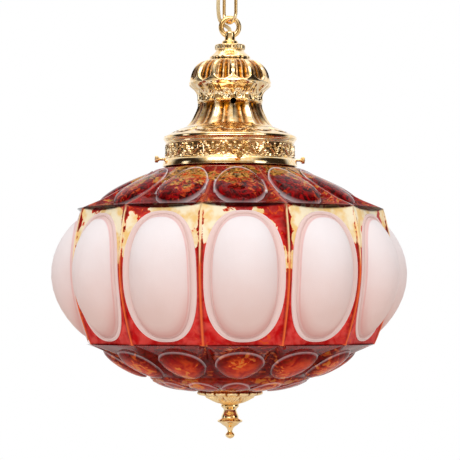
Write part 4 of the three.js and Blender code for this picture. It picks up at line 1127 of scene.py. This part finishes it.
def finial():
    pixels = [(403.4, 0), (403.4, 8.4), (404, 9), (405.2, 9.1), (406.4, 8.3), (407.4, 7),
              (409, 6.2), (410.6, 6.6), (412.6, 7.4), (414.6, 8.4), (416.2, 8.8), (417.4, 8.6),
              (418.2, 9.8), (419.4, 12.2), (420.3, 12.5), (421.2, 12.2), (422.2, 10),
              (423.4, 8.4), (424.4, 7.4), (426, 4.6), (428, 3), (430, 2.4), (431.4, 2.5),
              (432.4, 3.6), (433.6, 4.5), (434.6, 4.6), (436, 4), (437.2, 2.6), (437.9, 1),
              (438.1, 0)]
    top, bottom = depth_span("finial")
    first, last = photo_depth(pixels[0][0]), photo_depth(pixels[-1][0])
    profile = [(top + (photo_depth(p) - first) / (last - first) * (bottom - top), half * MM_PER_PIXEL)
               for p, half in pixels]
    made = turned_piece("turned_finial", profile, POLISHED, 72)
    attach(made, "finial_body")
    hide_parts("finial")


finial()


# Thumbscrews

def thumbscrew(number):
    """A screw with a small collar and a coined, knurled head, from its tip outwards."""
    head = SCREW_END - HEAD_LENGTH
    outline = [(SCREW_TIP, 0), (SCREW_TIP, 1.1), (SCREW_TIP + 0.5, SCREW_STEM), (head - 1.6, SCREW_STEM),
               (head - 1.2, 2.3), (head - 0.4, 2.4), (head, 2.2), (head, 3.3), (head + 0.4, SCREW_HEAD),
               (SCREW_END - 0.5, SCREW_HEAD), (SCREW_END, 3.3), (SCREW_END, 1.6),
               (SCREW_END - 0.3, 1.2), (SCREW_END - 0.3, 0)]
    sides = 2 * KNURLS
    angle = np.arange(sides) * 2 * math.pi / sides
    notch = 1 - 0.06 * (np.arange(sides) % 2)
    out = math.radians(SCREW_TURN + number * 360 / SCREW_COUNT)
    rings = []
    for reach, radius in outline:
        knurled = radius * np.where(radius >= SCREW_HEAD, notch, 1)
        beside, above = knurled * np.cos(angle), knurled * np.sin(angle)
        rings.append(np.stack([reach * math.sin(out) + beside * math.cos(out),
                               -reach * math.cos(out) + beside * math.sin(out),
                               LAMP_TOP - SCREW_LEVEL + above], axis=-1))
    name = "thumbscrew_%d" % (number + 1)
    made = mesh_object("knurled_" + name, np.array(rings).reshape(-1, 3) * MM,
                       [quad[::-1] for quad in grid_faces(len(outline), sides, False, True)])
    merge_points(made, 0.001)
    finish_piece(made, POLISHED)
    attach(made, "screw_%d" % (number + 1))
    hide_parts(name)


for number in range(SCREW_COUNT):
    thumbscrew(number)


# Links and loops, as rounded wire on a path

def wire_tree():
    """A node tree that bends round wire into a link with rounded ends."""
    inputs = {"start": "Geometry", "width": "Float", "length": "Float", "wire": "Float",
              "turn": "Float", "middle": "Vector", "material": "Material"}
    tree, given, identifiers = geometry_tree("bent_wire", inputs)
    slim = [add(tree, "ShaderNodeMath", {"operation": "SUBTRACT"},
                {0: given[side], 1: given["wire"]}).outputs[0] for side in ("width", "length")]
    path = add(tree, "GeometryNodeCurvePrimitiveQuadrilateral", {}, {"Width": slim[0], "Height": slim[1]})
    bend = add(tree, "ShaderNodeMath", {"operation": "MULTIPLY", 1: 0.4999}, {0: slim[0]})
    rounded = add(tree, "GeometryNodeFilletCurve", {"Limit Radius": True},
                  {"Curve": path.outputs[0], "Radius": bend.outputs[0]})
    rounded.mode = "POLY"
    rounded.inputs["Count"].default_value = 20
    half = add(tree, "ShaderNodeMath", {"operation": "MULTIPLY", 1: 0.5}, {0: given["wire"]})
    section = add(tree, "GeometryNodeCurvePrimitiveCircle", {"Resolution": 24},
                  {"Radius": half.outputs[0]})
    wire = add(tree, "GeometryNodeCurveToMesh", {},
               {"Curve": rounded.outputs[0], "Profile Curve": section.outputs[0]})
    upright = add(tree, "GeometryNodeTransform", {"Rotation": (math.pi / 2, 0, 0)}, {0: wire.outputs[0]})
    spin = add(tree, "ShaderNodeCombineXYZ", {}, {"Z": given["turn"]})
    placed = add(tree, "GeometryNodeTransform", {},
                 {0: upright.outputs[0], "Rotation": spin.outputs[0], "Translation": given["middle"]})
    solid = add(tree, "GeometryNodeRealizeInstances", {}, {0: placed.outputs[0]})
    painted = add(tree, "GeometryNodeSetMaterial", {}, {0: solid.outputs[0], "Material": given["material"]})
    add(tree, "NodeGroupOutput", {}, {0: painted.outputs[0]})
    return tree, identifiers


WIRE_TREE, WIRE_INPUTS = wire_tree()


def wire_link(name, width, length, wire, turn, middle, material):
    """A closed link of round wire. Sizes in mm, the turn of its plane in degrees from the XZ plane."""
    made = mesh_object(name, [(0, 0, 0)], [])
    values = {"width": width * MM, "length": length * MM, "wire": wire * MM,
              "turn": math.radians(turn), "middle": [value * MM for value in middle],
              "material": material}
    grown(made, "wire", WIRE_TREE, WIRE_INPUTS, values)
    return finish_piece(made, material, 60)


def chain():
    for number in (1, 2, 3):
        node = "chain_link_%d" % number
        low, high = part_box(node)
        middle = (0, 0, (low.z + high.z) / 2 / MM)
        turn = CHAIN_TURN - 90 * (number % 2)
        made = wire_link("wire_" + node, LINK_WIDTH, LINK_LENGTH, LINK_WIRE, turn, middle, POLISHED)
        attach(made, "link_%d" % number)
        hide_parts(node)


chain()


# The loop's nozzle and collar, as [share of the loop's height, radius in mm] from its ring's end
NOZZLE = [(0.53, 2.4), (0.53, 3.4), (0.54, 4.2), (0.555, 5.1), (0.575, 5.8), (0.6, 6.1),
          (0.63, 6.15), (0.84, 6.15), (0.853, 6.3), (0.86, 7.4), (0.885, 8.6),
          (0.91, 9.05), (0.94, 9.2), (0.965, 8.9), (0.985, 8.3), (1, 8.2), (1, 2.4)]


def cast_loop(node, body, turn, upside_down):
    """A cast ring on a nozzle with a rounded collar."""
    low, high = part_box(node)
    bottom, top = low.z / MM, high.z / MM
    if upside_down:
        bottom, top = top, bottom
    way = -1 if upside_down else 1
    ring_middle = (0, 0, top - way * LOOP_WIDTH / 2)
    ring = wire_link("ring_of_" + node, LOOP_WIDTH, LOOP_WIDTH, LOOP_WIRE, turn, ring_middle, POLISHED)
    profile = [(LAMP_TOP - mix(top, bottom, share), radius) for share, radius in NOZZLE]
    if upside_down:
        profile.reverse()
    nozzle = turned_piece("cast_" + node, profile, POLISHED, 48, close_rows=True)
    joined = bmesh.new()
    joined.from_mesh(nozzle.data)
    joined.from_mesh(ring.data)
    joined.to_mesh(nozzle.data)
    joined.free()
    bpy.data.objects.remove(ring)
    finish_piece(nozzle, POLISHED, 40)
    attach(nozzle, body)
    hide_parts(node)


cast_loop("lamp_loop", "lamp", 0, False)
cast_loop("canopy_loop", "ceiling", CHAIN_TURN, True)


# Canopy

def canopy():
    """A spun bowl with a rolled rim, a bead and a small step under it."""
    low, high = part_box("ceiling_canopy")
    radius = high.x / MM
    height = (high.z - low.z) / MM
    top = LAMP_TOP - high.z / MM
    outline = [(0, 1), (0.03, 1), (0.075, 0.995), (0.1, 0.98), (0.12, 0.962), (0.15, 0.955),
               (0.2, 0.95), (0.34, 0.905), (0.46, 0.845), (0.56, 0.775), (0.66, 0.69), (0.76, 0.585),
               (0.84, 0.475), (0.9, 0.38), (0.93, 0.3), (0.945, 0.26), (0.965, 0.235), (0.985, 0.21),
               (1, 0.17), (1, 0.083)]
    outer = [(top + share * height, part * radius) for share, part in outline]
    inner = [(min(depth, top + height - CANOPY_WALL), max(reach - CANOPY_WALL, TUBE_BORE))
             for depth, reach in outer[::-1]]
    made = turned_piece("spun_canopy", outer + inner, POLISHED, 120, close_rows=True)
    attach(made, "ceiling")
    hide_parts("ceiling_canopy")


canopy()


# Flex: two cores side by side in clear gold plastic

FLEX_ROUTE = [
    [0, 0, 0.7], [0, 0, 20], [0, 0, 40], [0, 0, 47], [0.1, -0.1, 51], [1.9, -1.6, 54.8],
    [5.6, -3.9, 57.2], [9.8, -4.9, 62], [12.8, -4.3, 71], [13.4, -3.4, 84], [12, -5.2, 97],
    [8.9, -8.3, 107.5], [5.2, -7.8, 117], [0, 0, 126.5], [-5.2, 7.8, 136], [-9.2, 9.2, 145],
    [-12.6, 7.4, 154], [-13.6, 4.4, 166], [-13.4, 4, 177], [-11.9, 6.2, 186], [-8, 7.4, 191.4],
    [-3.6, 5.2, 194.6], [-1, 1.7, 197.4], [-0.1, 0.1, 201], [0, 0, 205], [0, 0, 213],
    [0, 0, 250], [0, 0, 300], [0, 0, 340],
]
JOINT_DEPTHS = [66.6, 107.3, 149, 195.568]


def smooth_route():
    """Evenly spaced points on a Catmull-Rom curve through the route, in mm below the ceiling."""
    path = np.array(FLEX_ROUTE, float)
    ends = np.concatenate([[2 * path[0] - path[1]], path, [2 * path[-1] - path[-2]]])
    fine = []
    for a, b, c, d in zip(ends, ends[1:], ends[2:], ends[3:]):
        for t in np.linspace(0, 1, 24, endpoint=False):
            fine.append(0.5 * (2 * b + (c - a) * t + (2 * a - 5 * b + 4 * c - d) * t ** 2
                               + (3 * b - a - 3 * c + d) * t ** 3))
    fine = np.array(fine + [path[-1]])
    along = np.concatenate([[0], np.cumsum(np.linalg.norm(np.diff(fine, axis=0), axis=1))])
    places = np.linspace(0, along[-1], int(along[-1] / FLEX_STEP))
    return np.stack([np.interp(places, along, fine[:, i]) for i in range(3)], axis=-1), places


def flex():
    """The flex in four stretches, cut midway between the chain's joints and bent at each joint."""
    points, along = smooth_route()
    points = points * [1, 1, -1]
    heading = np.gradient(points, axis=0)
    heading /= np.linalg.norm(heading, axis=1)[:, None]
    wide = [np.array([1.0, 0, 0])]
    for way in heading[1:]:
        side = wide[-1] - way * np.dot(wide[-1], way)
        wide.append(side / np.linalg.norm(side))
    wide = np.array(wide)
    thin = np.cross(heading, wide)
    angle = np.arange(FLEX_SIDES) * 2 * math.pi / FLEX_SIDES
    waist = 1 - 0.3 * np.sin(angle) ** 8
    across = FLEX_WIDTH / 2 * np.cos(angle)
    over = FLEX_THICKNESS / 2 * np.sign(np.sin(angle)) * np.abs(np.sin(angle)) ** 0.7 * waist
    rings = (points[:, None] + across[None, :, None] * wide[:, None]
             + over[None, :, None] * thin[:, None])
    depths = -points[:, 2]
    cuts = [int(np.argmin(np.abs(depths - (a + b) / 2))) for a, b in zip(JOINT_DEPTHS, JOINT_DEPTHS[1:])]
    bounds = [0] + cuts + [len(points) - 1]
    for number, (first, last) in enumerate(zip(bounds, bounds[1:])):
        grid = rings[first:last + 1]
        rows = len(grid)
        faces = grid_faces(rows, FLEX_SIDES, False, True)
        faces = [quad[::-1] for quad in faces] + [list(range(FLEX_SIDES))]
        faces += [[(rows - 1) * FLEX_SIDES + i for i in range(FLEX_SIDES)][::-1]]
        made = mesh_object("flex_stretch_%d" % (number + 1), grid.reshape(-1, 3) * MM, faces)
        layer = made.data.uv_layers.new(name="along")
        for loop in made.data.loops:
            row, side = divmod(loop.vertex_index, FLEX_SIDES)
            layer.data[loop.index].uv = (along[first + row] / STRAND_PITCH, 2 * np.cos(angle[side]))
        finish_piece(made, FLEX, 50)
        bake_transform(made)
        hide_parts("supply_cord")


flex()


# Materials of the pieces that stay as they are

SLOT_MATERIALS = {
    "polished_brass": POLISHED, "cast_brass": CAST, "plain_brass": PLAIN, "plated_steel": STEEL,
    "ruby_glass": RUBY, "opal_glass": OPAL, "glazed_porcelain": PORCELAIN, "brown_fibre": FIBRE,
    "cork": CORK, "gold_flex": FLEX,
}

for part in frame["record"]["subparts"]:
    node = frame["nodes"][part["node"]]
    node.data.materials.clear()
    node.data.materials.append(SLOT_MATERIALS[part["material_slot"]])


# Studio

def add_floor():
    reach, height = FLOOR_REACH * MM, height_of(FLOOR_DEPTH)
    corners = [(x * reach, y * reach, height) for x, y in ((-1, -1), (1, -1), (1, 1), (-1, 1))]
    floor = mesh_object("floor", corners, [[0, 1, 2, 3]])
    floor.data.materials.append(pale_floor())


# Each light's name, place, width, height and radiance, in metres. All are aimed at the lamp's middle.
LAMP_MIDDLE = (0, 0, -0.45)
LIGHTS = [
    ("key", (-0.7, -1.7, 1.1), 1.3, 0.9, 2.6),
    ("fill", (1.7, -1.3, -0.2), 0.7, 1.2, 2.2),
    ("low", (-0.4, -1.9, -0.85), 1.2, 0.3, 3.2),
    ("side", (-2.0, -0.3, -0.4), 0.4, 1.4, 1.4),
    ("top", (0, 0.1, 1.0), 1.2, 1.2, 1.2),
    ("strip", (0.15, -1.5, 1.2), 1.3, 0.45, 4.5),
]


def softbox(name, place, width, height, radiance):
    """A white rectangular studio light that faces the lamp."""
    data = bpy.data.lights.new(name, "AREA")
    data.shape = "RECTANGLE"
    data.size = width
    data.size_y = height
    data.energy = radiance * math.pi * width * height
    lamp = bpy.data.objects.new(name, data)
    lamp.location = place
    lamp.rotation_euler = (Vector(LAMP_MIDDLE) - Vector(place)).to_track_quat("-Z", "Y").to_euler()
    bpy.context.scene.collection.objects.link(lamp)


def add_world():
    """White behind the lamp, and a soft grey light all round. The brass reflects white from behind,
    and from the front a brown room under a bright ceiling."""
    world = bpy.data.worlds.new("studio")
    bpy.context.scene.world = world
    world.use_nodes = True
    tree = world.node_tree
    tree.nodes.clear()
    direction = add(tree, "ShaderNodeTexCoord").outputs["Generated"]
    parts = add(tree, "ShaderNodeSeparateXYZ", {}, {0: direction})
    beside = add(tree, "ShaderNodeMath", {"operation": "ABSOLUTE"}, {0: parts.outputs["X"]})
    sides = ramp(tree, beside.outputs[0], 0.5, 0.8)
    ceiling = ramp(tree, parts.outputs["Z"], 0.15, 0.45)
    behind = ramp(tree, parts.outputs["Y"], 0.3, 0.65)
    front = blend_colours(tree, ceiling, "#A08864", "#FFF8EA")
    front = blend_colours(tree, sides, front, "#2A2018")
    room = blend_colours(tree, behind, front, "#FFFFFF")
    path = add(tree, "ShaderNodeLightPath")
    seen = add(tree, "ShaderNodeMath", {"operation": "MAXIMUM"},
               {0: path.outputs["Is Glossy Ray"], 1: path.outputs["Is Transmission Ray"]})
    fill = blend_colours(tree, seen.outputs[0], "#D2CFCE", room)
    colour = blend_colours(tree, path.outputs["Is Camera Ray"], fill, "#FFFFFF")
    surface = add(tree, "ShaderNodeBackground", {"Strength": 1.0}, {"Color": colour})
    add(tree, "ShaderNodeOutputWorld", {}, {"Surface": surface.outputs[0]})


add_floor()
for light in LIGHTS:
    softbox(*light)
add_world()
bpy.context.scene.view_settings.view_transform = "Standard"
